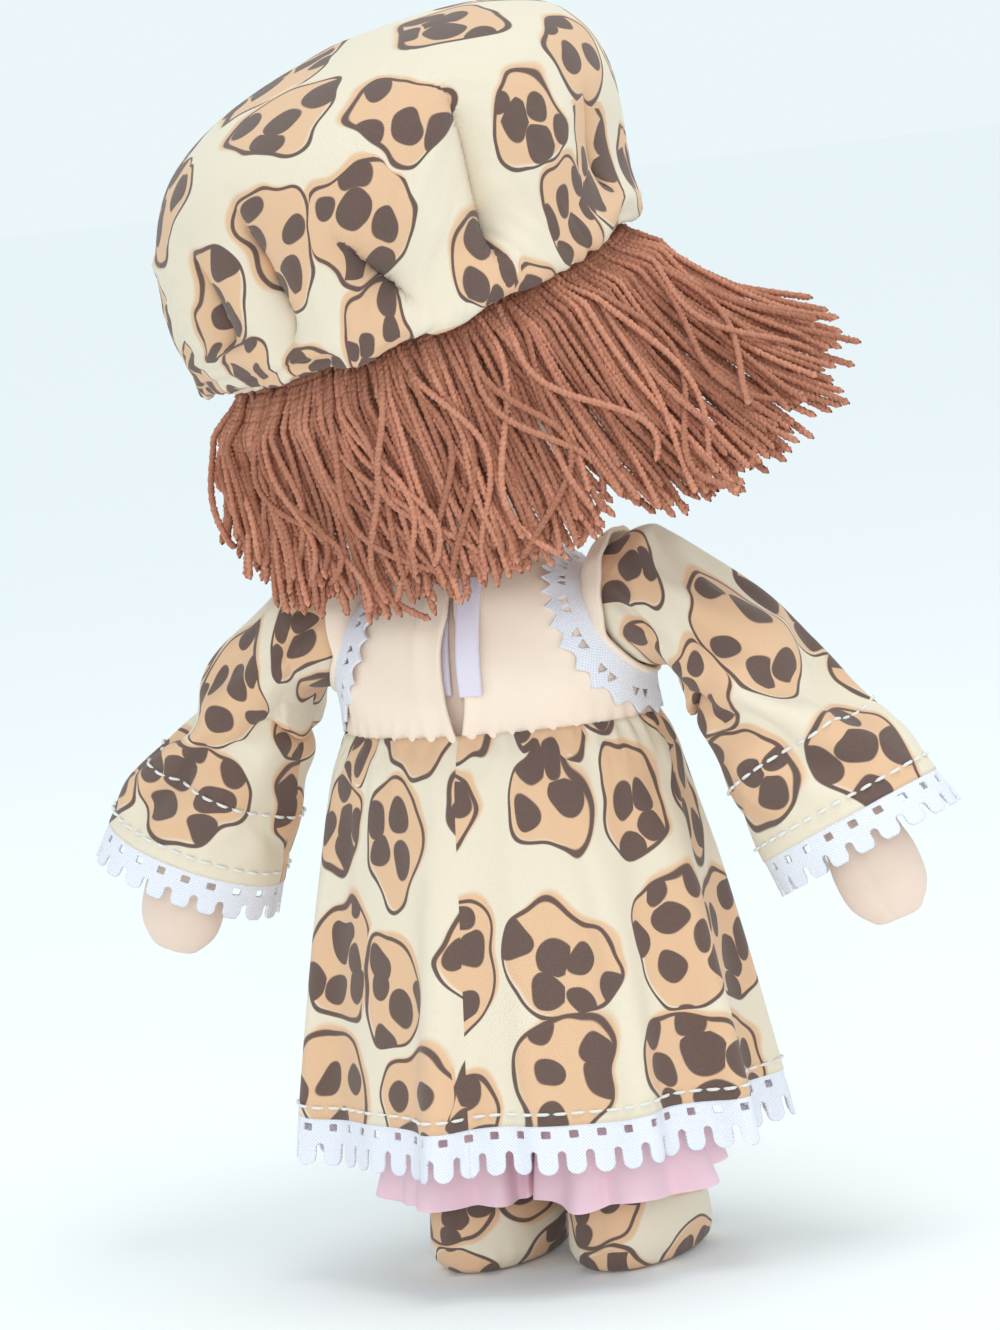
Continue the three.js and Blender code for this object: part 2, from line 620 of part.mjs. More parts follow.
// Distance from the wig's axis to the head's surface grown by `grow`, at an angle and a height.
function headReach(angle, height, grow) {
  const scale = new THREE.Vector3(...headHalf.map((half) => 1 / (half + grow)));
  const out = new THREE.Vector3(Math.cos(angle), Math.sin(angle), 0).applyEuler(wigTurn).multiply(scale);
  const up = new THREE.Vector3(0, 0, height).applyEuler(wigTurn).multiply(scale);
  const a = out.dot(out);
  const b = out.dot(up);
  return (-b + Math.sqrt(Math.max(b * b - a * (up.dot(up) - 1), 0))) / a;
}

const around = (angle, radius, height) =>
  new THREE.Vector3(radius * Math.cos(angle), radius * Math.sin(angle), height);

const hairTop = BAND_ABOVE_MIDDLE + 2;

// A hank of yarn between two angles, hanging from the wig tape to its cut ends.
function makeHank(wig, name, fromDegrees, toDegrees, endAt, flareAt) {
  const angles = steps(degToRad(fromDegrees), degToRad(toDegrees), Math.round((toDegrees - fromDegrees) / 9));
  const ROWS = 7;
  const column = (angle, outer) => {
    let widest = 0;
    return steps(0, 1, ROWS).map((share) => {
      const height = lerp(hairTop, endAt(angle), share);
      widest = Math.max(widest, headReach(angle, height, HAIR_OFF_HEAD));
      const inside = widest + flareAt(angle) * share * share;
      const below = smoothstep(BAND_ABOVE_MIDDLE - 2.5 - height, 0, 10);
      const outside = lerp(bandInner - FIT, inside + lerp(HAIR_THICKNESS, HAIR_ROOT, share * share), below);
      return around(angle, outer ? outside : inside, height);
    });
  };
  const grid = (outer) => angles.map((angle) => column(angle, outer));
  piece(wig, name, sheet(grid(true), grid(false)), YARN);
}

function makeWig(wig) {
  // Angle 0 is the doll's left, 90 its back and 180 its right.
  const toBack = (angle) => Math.pow(Math.max(Math.sin(angle), 0), 2);
  const sideLength = (angle) => lerp(HAIR_LENGTH_RIGHT, HAIR_LENGTH_LEFT, 0.5 + 0.5 * Math.cos(angle));
  const endAt = (angle) => -lerp(sideLength(angle), HAIR_LENGTH_BACK, toBack(angle));
  const sideFlare = (angle) => lerp(HAIR_FLARE_RIGHT, HAIR_FLARE_LEFT, 0.5 + 0.5 * Math.cos(angle));
  const flareAt = (angle) => lerp(sideFlare(angle), HAIR_FLARE_BACK, toBack(angle));
  makeHank(wig, "hair_left", -20, 49.5, endAt, flareAt);
  makeHank(wig, "hair_back", 50, 130, endAt, flareAt);
  makeHank(wig, "hair_right", 130.5, 200, endAt, flareAt);
  makeHank(wig, "hair_fringe", 200.5, 339.5, () => BAND_ABOVE_MIDDLE - FRINGE_LENGTH, () => 0);

  const angles = steps(0, 2 * Math.PI, 32).slice(0, -1);
  const tapeFrom = hairTop + FIT;
  const tape = (grow) =>
    steps(tapeFrom, tapeFrom + WIG_TAPE_WIDTH, 2).map((height) =>
      angles.map((angle) => around(angle, headReach(angle, height, grow), height)),
    );
  piece(wig, "wig_tape", wall(tape(FIT + HAIR_OFF_HEAD / 2 + LACE), tape(FIT + HAIR_OFF_HEAD / 2)), YARN);
}

function makeCap(wig) {
  const band = (offset) =>
    [BAND_ABOVE_MIDDLE, BAND_ABOVE_MIDDLE + BAND_HEIGHT].map((z) =>
      oval(bandInner + offset, bandInner + offset, z, { points: BAND_POINTS }),
    );
  piece(wig, "cap_band", wall(band(CLOTH), band(0)), PRINT);

  const mouth = bandInner + 2 * CLOTH + FIT; // outside of the crown where it is gathered on the band
  const half = mouth + CROWN_PUFF;
  // Height above the band's lower edge as a share of the rise, then the crown's outer radius.
  const outline = [
    [0.02, mouth],
    [-0.03, lerp(mouth, half, 0.15)],
    [0.13, lerp(mouth, half, 0.55)],
    [0.32, half],
    [0.56, 0.98 * half],
    [0.76, 0.88 * half],
    [0.895, 0.68 * half],
    [0.963, 0.44 * half],
    [0.99, 0.18 * half],
  ];
  const gather = (share) => (angle) =>
    CROWN_FOLD * smoothstep(share, 0.02, 0.25) * (1 - smoothstep(share, 0.3, 0.9)) * Math.cos(CROWN_GATHERS * angle);
  const crown = (inset) =>
    outline.map(([share, radius]) => {
      const z = BAND_ABOVE_MIDDLE + share * CROWN_RISE - inset * smoothstep(share, 0, 1);
      const lift = share < 0 ? inset : 0;
      const tight = radius - inset * (1 - 0.5 * smoothstep(share, 0.6, 1));
      const x = -CROWN_FLOP * smoothstep(share, 0, 0.95);
      return oval(tight, tight, z + lift, { x, points: 3 * CROWN_GATHERS, wave: gather(share) });
    });
  piece(wig, "cap_crown", wall(crown(0), crown(CLOTH), { shutLast: true }), PRINT);
}

for (const side of Object.keys(BESIDE)) {
  makeLeg(side);
  makeArm(side);
}
makeTorso();
makeBodice();
makeSkirt();
makeBloomers();
makeNeck();
const head = groupAt(doll, 0, 0, nodZ);
head.rotation.y = degToRad(HEAD_TILT);
makeHead(head);
const wig = groupAt(head, 0, 0, headRise);
wig.rotation.copy(wigTurn);
makeWig(wig);
makeCap(wig);

// The origin is on the floor under the middle of the doll's depth.
const reach = new THREE.Box3().setFromObject(doll, true);
doll.position.y = -(reach.min.y + reach.max.y) / 2;
doll.updateMatrixWorld(true);

// Joint places and directions in the part's frame, in millimetres.
const place = (x, y, z) => new THREE.Vector3(x, y, z).add(doll.position).toArray();
const capUp = new THREE.Vector3(0, 0, 1).transformDirection(wig.matrixWorld).toArray();
doll.userData.joints = {
  neck_turn: { at: place(0, 0, neckZ), axis: [0, 0, 1] },
  head_nod: { at: place(0, 0, nodZ), axis: [1, 0, 0] },
  cap_lift: { axis: capUp },
  sit_fold: { at: place(0, 0, hipZ), axis: [-1, 0, 0] },
  leg_swing: { at: place(0, 0, hipZ), axis: [-1, 0, 0] },
  arm_swing_left: { at: place(shoulderX, 0, shoulderZ), axis: [-1, 0, 0] },
  arm_swing_right: { at: place(-shoulderX, 0, shoulderZ), axis: [-1, 0, 0] },
  arm_raise_left: { at: place(shoulderX, 0, shoulderZ), axis: [0, -1, 0] },
  arm_raise_right: { at: place(-shoulderX, 0, shoulderZ), axis: [0, 1, 0] },
  waist_z: waistZ,
  band_z: nodZ + headRise,
  sole: place(legX, HEEL_BACK - BOOT_LENGTH / 2, 0),
};

export default doll;
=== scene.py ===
"""Looks of a rag doll in a puffed cap, a yarn bob and a lace-trimmed dress.

Lengths are in millimetres about the doll's own axis until a mesh is made, which moves them into
the frame in metres. The doll faces -Y, its left is +X and it stands on z = 0. Angles round it start
at its left and go by its back.
"""

import json
import math

import bmesh
import bpy
import numpy as np
from mathutils import Matrix, Vector


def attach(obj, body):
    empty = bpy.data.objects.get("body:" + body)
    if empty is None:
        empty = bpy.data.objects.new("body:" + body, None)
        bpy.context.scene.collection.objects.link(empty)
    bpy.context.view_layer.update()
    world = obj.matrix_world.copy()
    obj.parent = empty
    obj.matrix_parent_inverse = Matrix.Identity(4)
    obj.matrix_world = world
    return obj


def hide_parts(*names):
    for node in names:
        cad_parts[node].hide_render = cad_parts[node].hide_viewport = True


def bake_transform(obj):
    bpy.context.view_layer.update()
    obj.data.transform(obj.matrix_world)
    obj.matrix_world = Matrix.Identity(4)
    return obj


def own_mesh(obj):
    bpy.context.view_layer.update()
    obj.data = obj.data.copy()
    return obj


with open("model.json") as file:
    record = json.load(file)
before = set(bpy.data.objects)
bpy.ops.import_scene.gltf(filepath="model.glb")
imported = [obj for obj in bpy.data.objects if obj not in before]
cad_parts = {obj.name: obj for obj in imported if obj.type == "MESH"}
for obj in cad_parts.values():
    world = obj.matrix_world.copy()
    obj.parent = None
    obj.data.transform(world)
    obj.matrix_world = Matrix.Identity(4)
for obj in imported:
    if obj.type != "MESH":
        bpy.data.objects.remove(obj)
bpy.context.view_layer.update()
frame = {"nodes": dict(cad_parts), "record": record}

MM = 0.001
TURN = 2 * math.pi
JOINTS = {joint["name"]: joint for joint in frame["record"]["behaviour"]["joints"]}
AXIS_Y = JOINTS["head_nod"]["pos_m"][1] / MM  # the doll's axis in the frame
SIDES = {"left": 1, "right": -1}


def joint_at(name):
    """A joint's place, in millimetres about the doll's axis."""
    return np.array(JOINTS[name]["pos_m"]) / MM - (0, AXIS_Y, 0)


NOD = joint_at("head_nod")
HIP = joint_at("sit_fold")
SHOULDER = joint_at("arm_swing_left")

# Camera: where the photograph was taken from, about the doll
CAMERA_AZIMUTH = 204
CAMERA_ELEVATION = 6
CAMERA_ROLL = -6.5
CAMERA_DISTANCE = 900
CAMERA_LENS = 129
CAMERA_TARGET = (-2, 2, 115.5)

# Body
WAIST_Z = 104.1
NECKLINE_Z = 134.1
NECK_Z = 137.1
NECK_RADIUS = 9.0
HEAD_HALF = np.array((36.5, 34.0, 36.5))
HEAD_RISE = 38.0
HEAD_TILT = 5
LEG_X = 14.5
LEG_RADIUS = 10.0
BOOT_HEIGHT = 24.0
BOOT_HALF_LENGTH = 20.5
BOOT_HALF_WIDTH = 12.5
BOOT_HEEL = 14.0  # how far the heel stands behind the leg's axis
BOOT_SEAM = 0.07  # half width of its seams, as an angle
# Height, half width and half depth of the stuffed torso
TORSO_KEYS = [
    (69.1, 24.1, 1.2),
    (79.0, 26.3, 8.5),
    (92.3, 28.0, 15.3),
    (108.5, 28.0, 17.0),
    (127.1, 25.0, 14.3),
    (133.1, 16.2, 11.6),
    (137.1, 9.0, 9.0),
]

# Cap and wig, in a frame tipped back and to the left about the middle of the head
CAP_TIP_BACK = 13
CAP_TIP_LEFT = 9
BAND_LOW = 9.0
BAND_HEIGHT = 6.0
BAND_RADIUS = 41.6
CROWN_FLAT_RADIUS = 90.0  # the round of cloth that the crown is gathered from
HAIR_TOP = 11.0
YARN_RADIUS = 0.82
YARN_PITCH = 2.8
STRANDS_PER_DEGREE = 2.6
CLUMP = 7  # strands
FRINGE_END = BAND_LOW - 13.0
STRAY_SHARE = 0.07
# Hanging length of the yarn and how far its ends stand out, at the doll's right, left and back
HANK_LENGTH = (33.0, 21.0, 41.0)
HANK_FLARE = (26.0, 12.0, 4.0)
SWEEP_ANGLE = math.radians(155)  # the yarn is longer round here
SWEEP_REACH = math.radians(24)
SWEEP_LENGTH = 8.0
# How the strands fall: their drift, how unevenly they and their clumps end, and how far a stray one goes
HANK_FALL = (math.radians(4.5), 0.06, 0.05, 1.0)
FRINGE_FALL = (math.radians(2.6), 0.05, 0.0, 0.2)

# Dress
BODICE_OFF = 2.1  # bodice off the torso
ARMHOLE_RADIUS = 14.7
EDGE_OPENING = math.radians(58)  # how far round the sleeve's head the armhole's edge reaches
BODICE_GIRTH = 165
BACK_SLIT = 2.4
CLOSURE_WIDTH = 4.5
CLOSURE_LENGTH = 22.0
SKIRT_FLAT = 292.0
SKIRT_LENGTH = 71.5
SKIRT_CUT = (9.0, 13.0)  # where the skirt is cut from the printed cloth
HEM_HALF = (46.8, 38.3)
HEM_LACE_WIDTH = 9.0
HEM_LACE_PERIOD = 5.2
HEM_LACE_NOTCH = 3.6
CUFF_LACE_WIDTH = 7.5
CUFF_LACE_PERIOD = 5.0
CUFF_LACE_NOTCH = 2.6
ARMHOLE_LACE_WIDTH = 8.0
ARMHOLE_LACE_PERIOD = 7.5
STITCH_LIFT = 0.6
CLOTH = 0.9
TAPE_THICKNESS = 0.8
FRILL_THICKNESS = 0.7
LACE_THICKNESS = 0.6
# Width and length of the cloth that a piece's weave is laid out on
TORSO_CLOTH = (150, 68)
NECK_CLOTH = (TURN * NECK_RADIUS, 14)
EDGE_CLOTH = (92, 9)
SEAT_CLOTH = (150, 39)
BLOOMER_LEG_CLOTH = (78, 35)
LEG_CLOTH = (62, 40)
ARM_CLOTH = (44, 78)
THUMB_CLOTH = (20, 12)

# Bloomers
BLOOMER_TOP = 96.0
BLOOMER_CUFF = 31.0
BLOOMER_SPLIT = 57.5  # where the seat ends between the legs
BLOOMER_ROOM = 2.0
FRILL_LENGTH = 13.5
FRILL_BACK = 3.5  # the frill hangs this much lower behind than in front

# Small tools


def through(keys):
    """A smooth curve through rows of (place, value, ...), read at any place or array of places."""
    keys = np.array(keys, float)
    x, y = keys[:, 0], keys[:, 1:]
    slope = np.gradient(y, x, axis=0)

    def at(place):
        place = np.clip(np.asarray(place, float), x[0], x[-1])
        i = np.clip(np.searchsorted(x, place) - 1, 0, len(x) - 2)
        step = (x[i + 1] - x[i])[..., None]
        s = (place - x[i])[..., None] / step
        near = (1 + 2 * s) * (1 - s) ** 2 * y[i] + s * (1 - s) ** 2 * step * slope[i]
        return near + s**2 * (3 - 2 * s) * y[i + 1] + s**2 * (s - 1) * step * slope[i + 1]

    return at


TORSO = through(TORSO_KEYS)


def smooth(value, low, high):
    """0 below low, 1 above high and a smooth rise between."""
    s = np.clip((np.asarray(value, float) - low) / (high - low), 0, 1)
    return s * s * (3 - 2 * s)


def unit(v):
    return v / np.maximum(np.linalg.norm(v, axis=-1, keepdims=True), 1e-9)


def mixed(a, b, share):
    return a + (b - a) * share


def bell(x, width):
    """A smooth hump: 1 where x is 0 and nearly 0 two widths away."""
    return np.exp(-((x / width) ** 2))


def stacked(*values):
    """Arrays spread over each other, as the columns of an array of points."""
    return np.stack(np.broadcast_arrays(*values), -1)


def ring_angles(count, closed=False):
    """A row of angles round a full turn. A closed row ends where it starts."""
    return np.linspace(0, TURN, count, endpoint=closed)[None]


def ball(up, angle):
    """Points on a round of radius 1, at angles up from its middle and angles round it."""
    return stacked(np.cos(up) * np.cos(angle), np.cos(up) * np.sin(angle), np.sin(up))


def run(path):
    """Distance along a path at each of its points."""
    return np.concatenate([[0], np.cumsum(np.linalg.norm(np.diff(path, axis=0), axis=1))])


def read_at(places, far, values):
    """Rows of values that are known at distances far, read at other places."""
    return np.stack([np.interp(places, far, column) for column in values.T], -1)


def ripple(seed, count, fewest, most):
    """A repeatable wobble over an angle, made of a few waves, about -1 to 1."""
    random = np.random.default_rng(seed)
    waves = [(random.integers(fewest, most + 1), random.uniform(0, TURN)) for _ in range(count)]
    return lambda angle: sum(np.cos(n * angle + phase) for n, phase in waves) / math.sqrt(count)


def crumple(seed, count, shortest, longest):
    """A repeatable wobble over a flat sheet, with waves between two lengths, about -1 to 1."""
    random = np.random.default_rng(seed)
    lengths = random.uniform(shortest, longest, count)
    heading = random.uniform(0, TURN, count)
    phase = random.uniform(0, TURN, count)

    def at(u, v):
        total = 0
        for length, way, start in zip(lengths, heading, phase):
            total = total + np.sin(TURN * (u * math.cos(way) + v * math.sin(way)) / length + start)
        return total / math.sqrt(count)

    return at


def turned(axis, degrees):
    """A rotation matrix about axis 0, 1 or 2."""
    return np.array(Matrix.Rotation(math.radians(degrees), 3, "XYZ"[axis]))


HEAD_TURN = turned(1, HEAD_TILT)
WIG_TURN = turned(0, -CAP_TIP_BACK) @ turned(1, CAP_TIP_LEFT)
HEAD_MIDDLE = NOD + HEAD_TURN @ np.array((0, 0, HEAD_RISE))


def from_head(points):
    return np.asarray(points) @ HEAD_TURN.T + HEAD_MIDDLE


def from_wig(points):
    return from_head(np.asarray(points) @ WIG_TURN.T)


def in_frame(point):
    """A point about the doll's axis, in metres in the frame."""
    return tuple((np.asarray(point, float) + (0, AXIS_Y, 0)) * MM)


# Meshes


def placed(name, data):
    """A new object in the scene."""
    obj = bpy.data.objects.new(name, data)
    bpy.context.collection.objects.link(obj)
    return obj


def mesh_object(name, points, faces, cloth=None, tone=None):
    """An object from points. cloth is each face corner's place on the flat cloth."""
    mesh = bpy.data.meshes.new(name)
    mesh.from_pydata((np.asarray(points) + (0, AXIS_Y, 0)) * MM, [], faces)
    if cloth is not None:
        mesh.uv_layers.new(name="cloth").data.foreach_set("uv", (np.asarray(cloth) * MM).ravel())
    if tone is not None:
        mesh.attributes.new("tone", "FLOAT", "POINT").data.foreach_set("value", np.asarray(tone, np.float32))
    mesh.shade_smooth()
    return placed(name, mesh)


def corners_of(faces, cloth):
    """Places on the cloth for each face corner, from places for each point."""
    return np.asarray(cloth)[[corner for face in faces for corner in face]]


def quads(rows, cols, joined):
    """Faces over a grid of points. joined closes each row into a ring."""
    i, j = np.meshgrid(np.arange(rows - 1), np.arange(cols if joined else cols - 1), indexing="ij")
    k = (j + 1) % cols
    return np.stack([i * cols + j, i * cols + k, (i + 1) * cols + k, (i + 1) * cols + j], -1).reshape(-1, 4)


def sheet_object(name, grid, cloth, joined=False):
    """A sheet over a grid of points. A joined one has one more column of cloth places than of points."""
    rows, cols = grid.shape[:2]
    faces = quads(rows, cols, joined)
    corner = cloth.reshape(-1, 2)[quads(rows, cloth.shape[1], False).ravel()]
    return mesh_object(name, grid.reshape(-1, 3), faces.tolist(), corner)


def stuffed_object(name, grid, cloth, flat_start=False):
    """A closed body over a stack of rings, each end drawn to a point.

    flat_start lays the cloth flat over the first end.
    """
    rows, cols = grid.shape[:2]
    points = np.concatenate([grid.reshape(-1, 3), [grid[0].mean(0), grid[-1].mean(0)]])
    faces = quads(rows, cols, True).tolist()
    corner = cloth.reshape(-1, 2)[quads(rows, cols + 1, False).ravel()]
    last = (rows - 1) * cols
    ends = [corner]
    for start, middle in ((0, rows * cols), (last, rows * cols + 1)):
        edge = cloth[start // cols]
        for j in range(cols):
            faces.append([middle, start + j, start + (j + 1) % cols])
            point = edge.mean(0) if flat_start and start == 0 else (edge[j] + edge[j + 1]) / 2
            ends.append([point, edge[j], edge[j + 1]])
    obj = mesh_object(name, points, faces, np.concatenate(ends))
    shape = bmesh.new()
    shape.from_mesh(obj.data)
    bmesh.ops.recalc_face_normals(shape, faces=shape.faces)
    shape.to_mesh(obj.data)
    shape.free()
    return obj


def flat_places(rows, cols, width, length):
    """Places on a flat cloth for a grid of points, with the last column at the full width."""
    u, v = np.meshgrid(np.linspace(0, width, cols), np.linspace(0, length, rows))
    return np.stack([u, v], -1)


def clip(points, triangles, keep, *extras):
    """The part of a mesh where keep is above 0, cut cleanly along the line where it is 0."""
    values = [np.asarray(points), *[np.asarray(extra) for extra in extras]]
    columns = [list(value) for value in values]
    made, out = {}, []

    def cut(a, b):
        key = (min(a, b), max(a, b))
        if key not in made:
            share = keep[a] / (keep[a] - keep[b])
            for value, column in zip(values, columns):
                column.append(value[a] + share * (value[b] - value[a]))
            made[key] = len(columns[0]) - 1
        return made[key]

    for triangle in triangles:
        ring = []
        for a, b in zip(triangle, (*triangle[1:], triangle[0])):
            if keep[a] > 0:
                ring.append(a)
            if (keep[a] > 0) != (keep[b] > 0):
                ring.append(cut(a, b))
        if len(ring) > 2:
            out.append(ring)
    used = np.unique(np.concatenate(out))
    place = np.zeros(len(columns[0]), int)
    place[used] = np.arange(len(used))
    return [np.array(column)[used] for column in columns], [place[ring].tolist() for ring in out]


def cut_sheet(name, grid, cloth, keep, joined=False):
    """A sheet over a grid of points, with the part where keep is below 0 cut away."""
    if joined:
        grid = np.concatenate([grid, grid[:, :1]], 1)
    rows, cols = grid.shape[:2]
    faces = quads(rows, cols, False)
    triangles = np.concatenate([faces[:, [0, 1, 2]], faces[:, [0, 2, 3]]]).tolist()
    kept, rings = clip(grid.reshape(-1, 3), triangles, keep.ravel(), cloth.reshape(-1, 2))
    obj = mesh_object(name, kept[0], rings, corners_of(rings, kept[1]))
    if joined:
        modifier(obj, "WELD", merge_threshold=0.01 * MM)
    return obj


def modifier(obj, kind, **settings):
    made = obj.modifiers.new(kind.lower(), kind)
    for key, value in settings.items():
        setattr(made, key, value)
    return made


def thicken(obj, thickness, levels=0):
    if levels:
        modifier(obj, "SUBSURF", levels=levels, render_levels=levels)
    modifier(obj, "SOLIDIFY", thickness=thickness * MM, offset=0.0)
    return obj


def join(name, parts):
    """One mesh from several lists of (points, faces, cloth corners, tone)."""
    start, points, faces, cloth, tone = 0, [], [], [], []
    for part_points, part_faces, part_cloth, part_tone in parts:
        points.append(part_points)
        faces.extend((np.asarray(part_faces) + start).tolist())
        cloth.append(part_cloth)
        tone.append(np.full(len(part_points), part_tone))
        start += len(part_points)
    return mesh_object(name, np.concatenate(points), faces, np.concatenate(cloth), np.concatenate(tone))


def dress(obj, material, body, slot, *replaced):
    """Material and body of a piece. Without a body, it is not attached here."""
    obj.data.materials.append(material)
    if body:
        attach(obj, body)
    if replaced:
        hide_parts(*replaced)
    return obj


def cloth_piece(name, grid, cloth, material, body, slot, *replaced, joined=True, levels=0, thickness=CLOTH):
    """A finished sheet over a grid of points."""
    piece = thicken(sheet_object(name, grid, cloth, joined), thickness, levels)
    return dress(piece, material, body, slot, *replaced)


def stuffed_piece(
    name, grid, cloth, material, body, *replaced, slot="skin_cotton", fill=0.8, levels=0, flat_start=False
):
    """A finished stuffed body over a stack of rings."""
    piece = stuffed_object(name, grid, cloth, flat_start)
    if levels:
        modifier(piece, "SUBSURF", levels=levels, render_levels=levels)
    dress(piece, material, body, slot, *replaced)


# Cloth simulation, at ten times the doll's size, where cloth settles steadily

SIM_SCALE = 0.01
SIM_GAP = 0.012  # between a cloth and what it lies on


def sim_object(name, points, faces):
    mesh = bpy.data.meshes.new(name)
    mesh.from_pydata(points * SIM_SCALE, [], faces)
    return placed(name, mesh)


def settle(points, faces, rest, pinned, frames, body=None, **settings):
    """Where a cloth's points come to rest. rest is the shape it was cut to, and pinned points stay."""
    scene = bpy.context.scene
    cloth = sim_object("settling", points, faces)
    cloth.shape_key_add(name="start")
    cut = cloth.shape_key_add(name="cut")
    cut.data.foreach_set("co", (rest * SIM_SCALE).ravel())
    group = cloth.vertex_groups.new(name="pinned")
    group.add([int(i) for i in pinned], 1.0, "REPLACE")
    made = modifier(cloth, "CLOTH")
    made.settings.rest_shape_key = cut
    made.settings.vertex_group_mass = "pinned"
    made.settings.quality = 7
    made.settings.air_damping = 3
    made.settings.effector_weights.gravity = settings.pop("gravity", 1.0)
    made.collision_settings.distance_min = SIM_GAP
    made.collision_settings.use_self_collision = settings.pop("touch_itself", False)
    made.collision_settings.self_distance_min = 0.01
    for key, value in settings.items():
        setattr(made.settings, key, value)
    made.point_cache.frame_start = 1
    made.point_cache.frame_end = frames
    blocks = []
    if body:
        block = sim_object("standing", *body)
        modifier(block, "COLLISION")
        block.collision.thickness_outer = SIM_GAP
        blocks.append(block)
    for number in range(1, frames + 1):
        scene.frame_set(number)
    settled = cloth.evaluated_get(bpy.context.evaluated_depsgraph_get())
    places = np.empty(3 * len(points))
    settled.data.vertices.foreach_get("co", places)
    for obj in [cloth, *blocks]:
        mesh = obj.data
        bpy.data.objects.remove(obj)
        bpy.data.meshes.remove(mesh)
    scene.frame_set(1)
    return places.reshape(-1, 3) / SIM_SCALE


# Materials


class Shader:
    """A Principled material under construction."""

    def __init__(self, name, roughness=0.9, sheen=0.0):
        self.material = bpy.data.materials.new(name)
        self.material.use_nodes = True
        self.tree = self.material.node_tree
        self.principled = self.tree.nodes["Principled BSDF"]
        self.principled.inputs["Roughness"].default_value = roughness
        self.principled.inputs["Sheen Weight"].default_value = sheen
        self.principled.inputs["Sheen Roughness"].default_value = 0.6
        self.principled.inputs["Specular IOR Level"].default_value = 0.25

    def set(self, socket, value):
        if isinstance(value, bpy.types.NodeSocket):
            self.tree.links.new(value, socket)
        else:
            socket.default_value = value

    def add(self, kind, inputs=(), **settings):
        node = self.tree.nodes.new(kind)
        for key, value in settings.items():
            setattr(node, key, value)
        for key, value in dict(inputs).items():
            self.set(node.inputs[key], value)
        return node

    def math(self, operation, a, b=0.0, c=0.0):
        return self.add("ShaderNodeMath", {0: a, 1: b, 2: c}, operation=operation).outputs[0]

    def vector(self, operation, a, b=(0, 0, 0)):
        return self.add("ShaderNodeVectorMath", {0: a, 1: b}, operation=operation).outputs[0]

    def below(self, value, limit, soft):
        """1 where value is under limit, 0 over it, with an edge this soft."""
        inputs = {"Value": value, "From Min": limit + soft, "From Max": limit - soft}
        return self.add("ShaderNodeMapRange", inputs, interpolation_type="SMOOTHSTEP").outputs["Result"]

    def mix(self, share, a, b):
        node = self.add("ShaderNodeMix", data_type="RGBA")
        self.set(node.inputs[0], share)
        self.set(node.inputs[6], a)
        self.set(node.inputs[7], b)
        return node.outputs[2]

    def cloth_place(self):
        """The point's place on the flat cloth, in millimetres."""
        place = self.add("ShaderNodeUVMap", uv_map="cloth").outputs["UV"]
        return self.vector("MULTIPLY", place, (1 / MM, 1 / MM, 0))

    def object_place(self):
        """The point's place in the frame, in millimetres."""
        place = self.add("ShaderNodeTexCoord").outputs["Object"]
        return self.vector("MULTIPLY", place, (1 / MM, 1 / MM, 1 / MM))

    def noise(self, place, scale, detail=2.0, output=0):
        inputs = {"Vector": place, "Scale": scale, "Detail": detail}
        return self.add("ShaderNodeTexNoise", inputs).outputs[output]

    def weave(self, place, pitch):
        """The height of a plain weave with this thread spacing, 0 to 1."""
        split = self.add("ShaderNodeSeparateXYZ", {0: place})
        across = self.math("SINE", self.math("MULTIPLY", split.outputs["X"], TURN / pitch))
        along = self.math("SINE", self.math("MULTIPLY", split.outputs["Y"], TURN / pitch))
        return self.math("MULTIPLY_ADD", self.math("MULTIPLY", across, along), 0.5, 0.5)

    def bump(self, height, distance, strength=1.0, normal=None):
        inputs = {"Height": height, "Distance": distance * MM, "Strength": strength}
        node = self.add("ShaderNodeBump", inputs)
        if normal:
            self.set(node.inputs["Normal"], normal)
        return node.outputs["Normal"]

    def finish(self, colour, normal=None):
        self.set(self.principled.inputs["Base Color"], colour)
        if normal:
            self.set(self.principled.inputs["Normal"], normal)
        return self.material


def srgb(r, g, b):
    """A colour given as 0 to 255 display values, as the linear values that shaders take."""
    share = np.array((r, g, b)) / 255
    linear = np.where(share <= 0.04045, share / 12.92, ((share + 0.055) / 1.055) ** 2.4)
    return (*linear.tolist(), 1.0)


def shade(colour, amount):
    return (*[amount * c for c in colour[:3]], 1.0)


def cotton_normal(shader, place, pitch=0.5):
    crumpled = shader.bump(shader.noise(place, 0.12, 4.0), 0.5, 0.5)
    return shader.bump(shader.weave(place, pitch), 0.06, 0.6, crumpled)


def cotton(name, colour, pitch=0.5, amount=0.1, on_cloth=True):
    """Plain cotton in soft uneven patches, as washed cloth has, with its weave."""
    shader = Shader(name, sheen=0.15)
    place = shader.cloth_place() if on_cloth else shader.object_place()
    patches = shader.noise(place, 0.05, 3.0)
    uneven = shader.mix(patches, shade(colour, 1 - amount), colour)
    return shader.finish(uneven, cotton_normal(shader, place, pitch))


# Animal print, in millimetres on the cloth
PATCH_SPACING = 25.5
PATCH_SCATTER = 0.42
PATCH_RADIUS = 9.3
PATCH_SPREAD = 2.6  # how much larger the largest patch is
PATCH_BEND = (11, 11, 0)
SPOT_SPACING = 8.3
SPOT_SCATTER = 0.6
SPOT_RADIUS = 2.6
SPOT_SPREAD = 1.6
FINE_BEND = (4, 4, 0)
LINE_WIDTH = 0.95
LINE_SOFT = 0.16
FILL_SHIFT = (-0.9, 0.8, 0.0)  # the tan is printed a little off its outline
CREAM = (234, 220, 198)
TAN = (229, 187, 150)
DARK_BROWN = (98, 77, 70)
WORN_BROWN = (128, 104, 94)


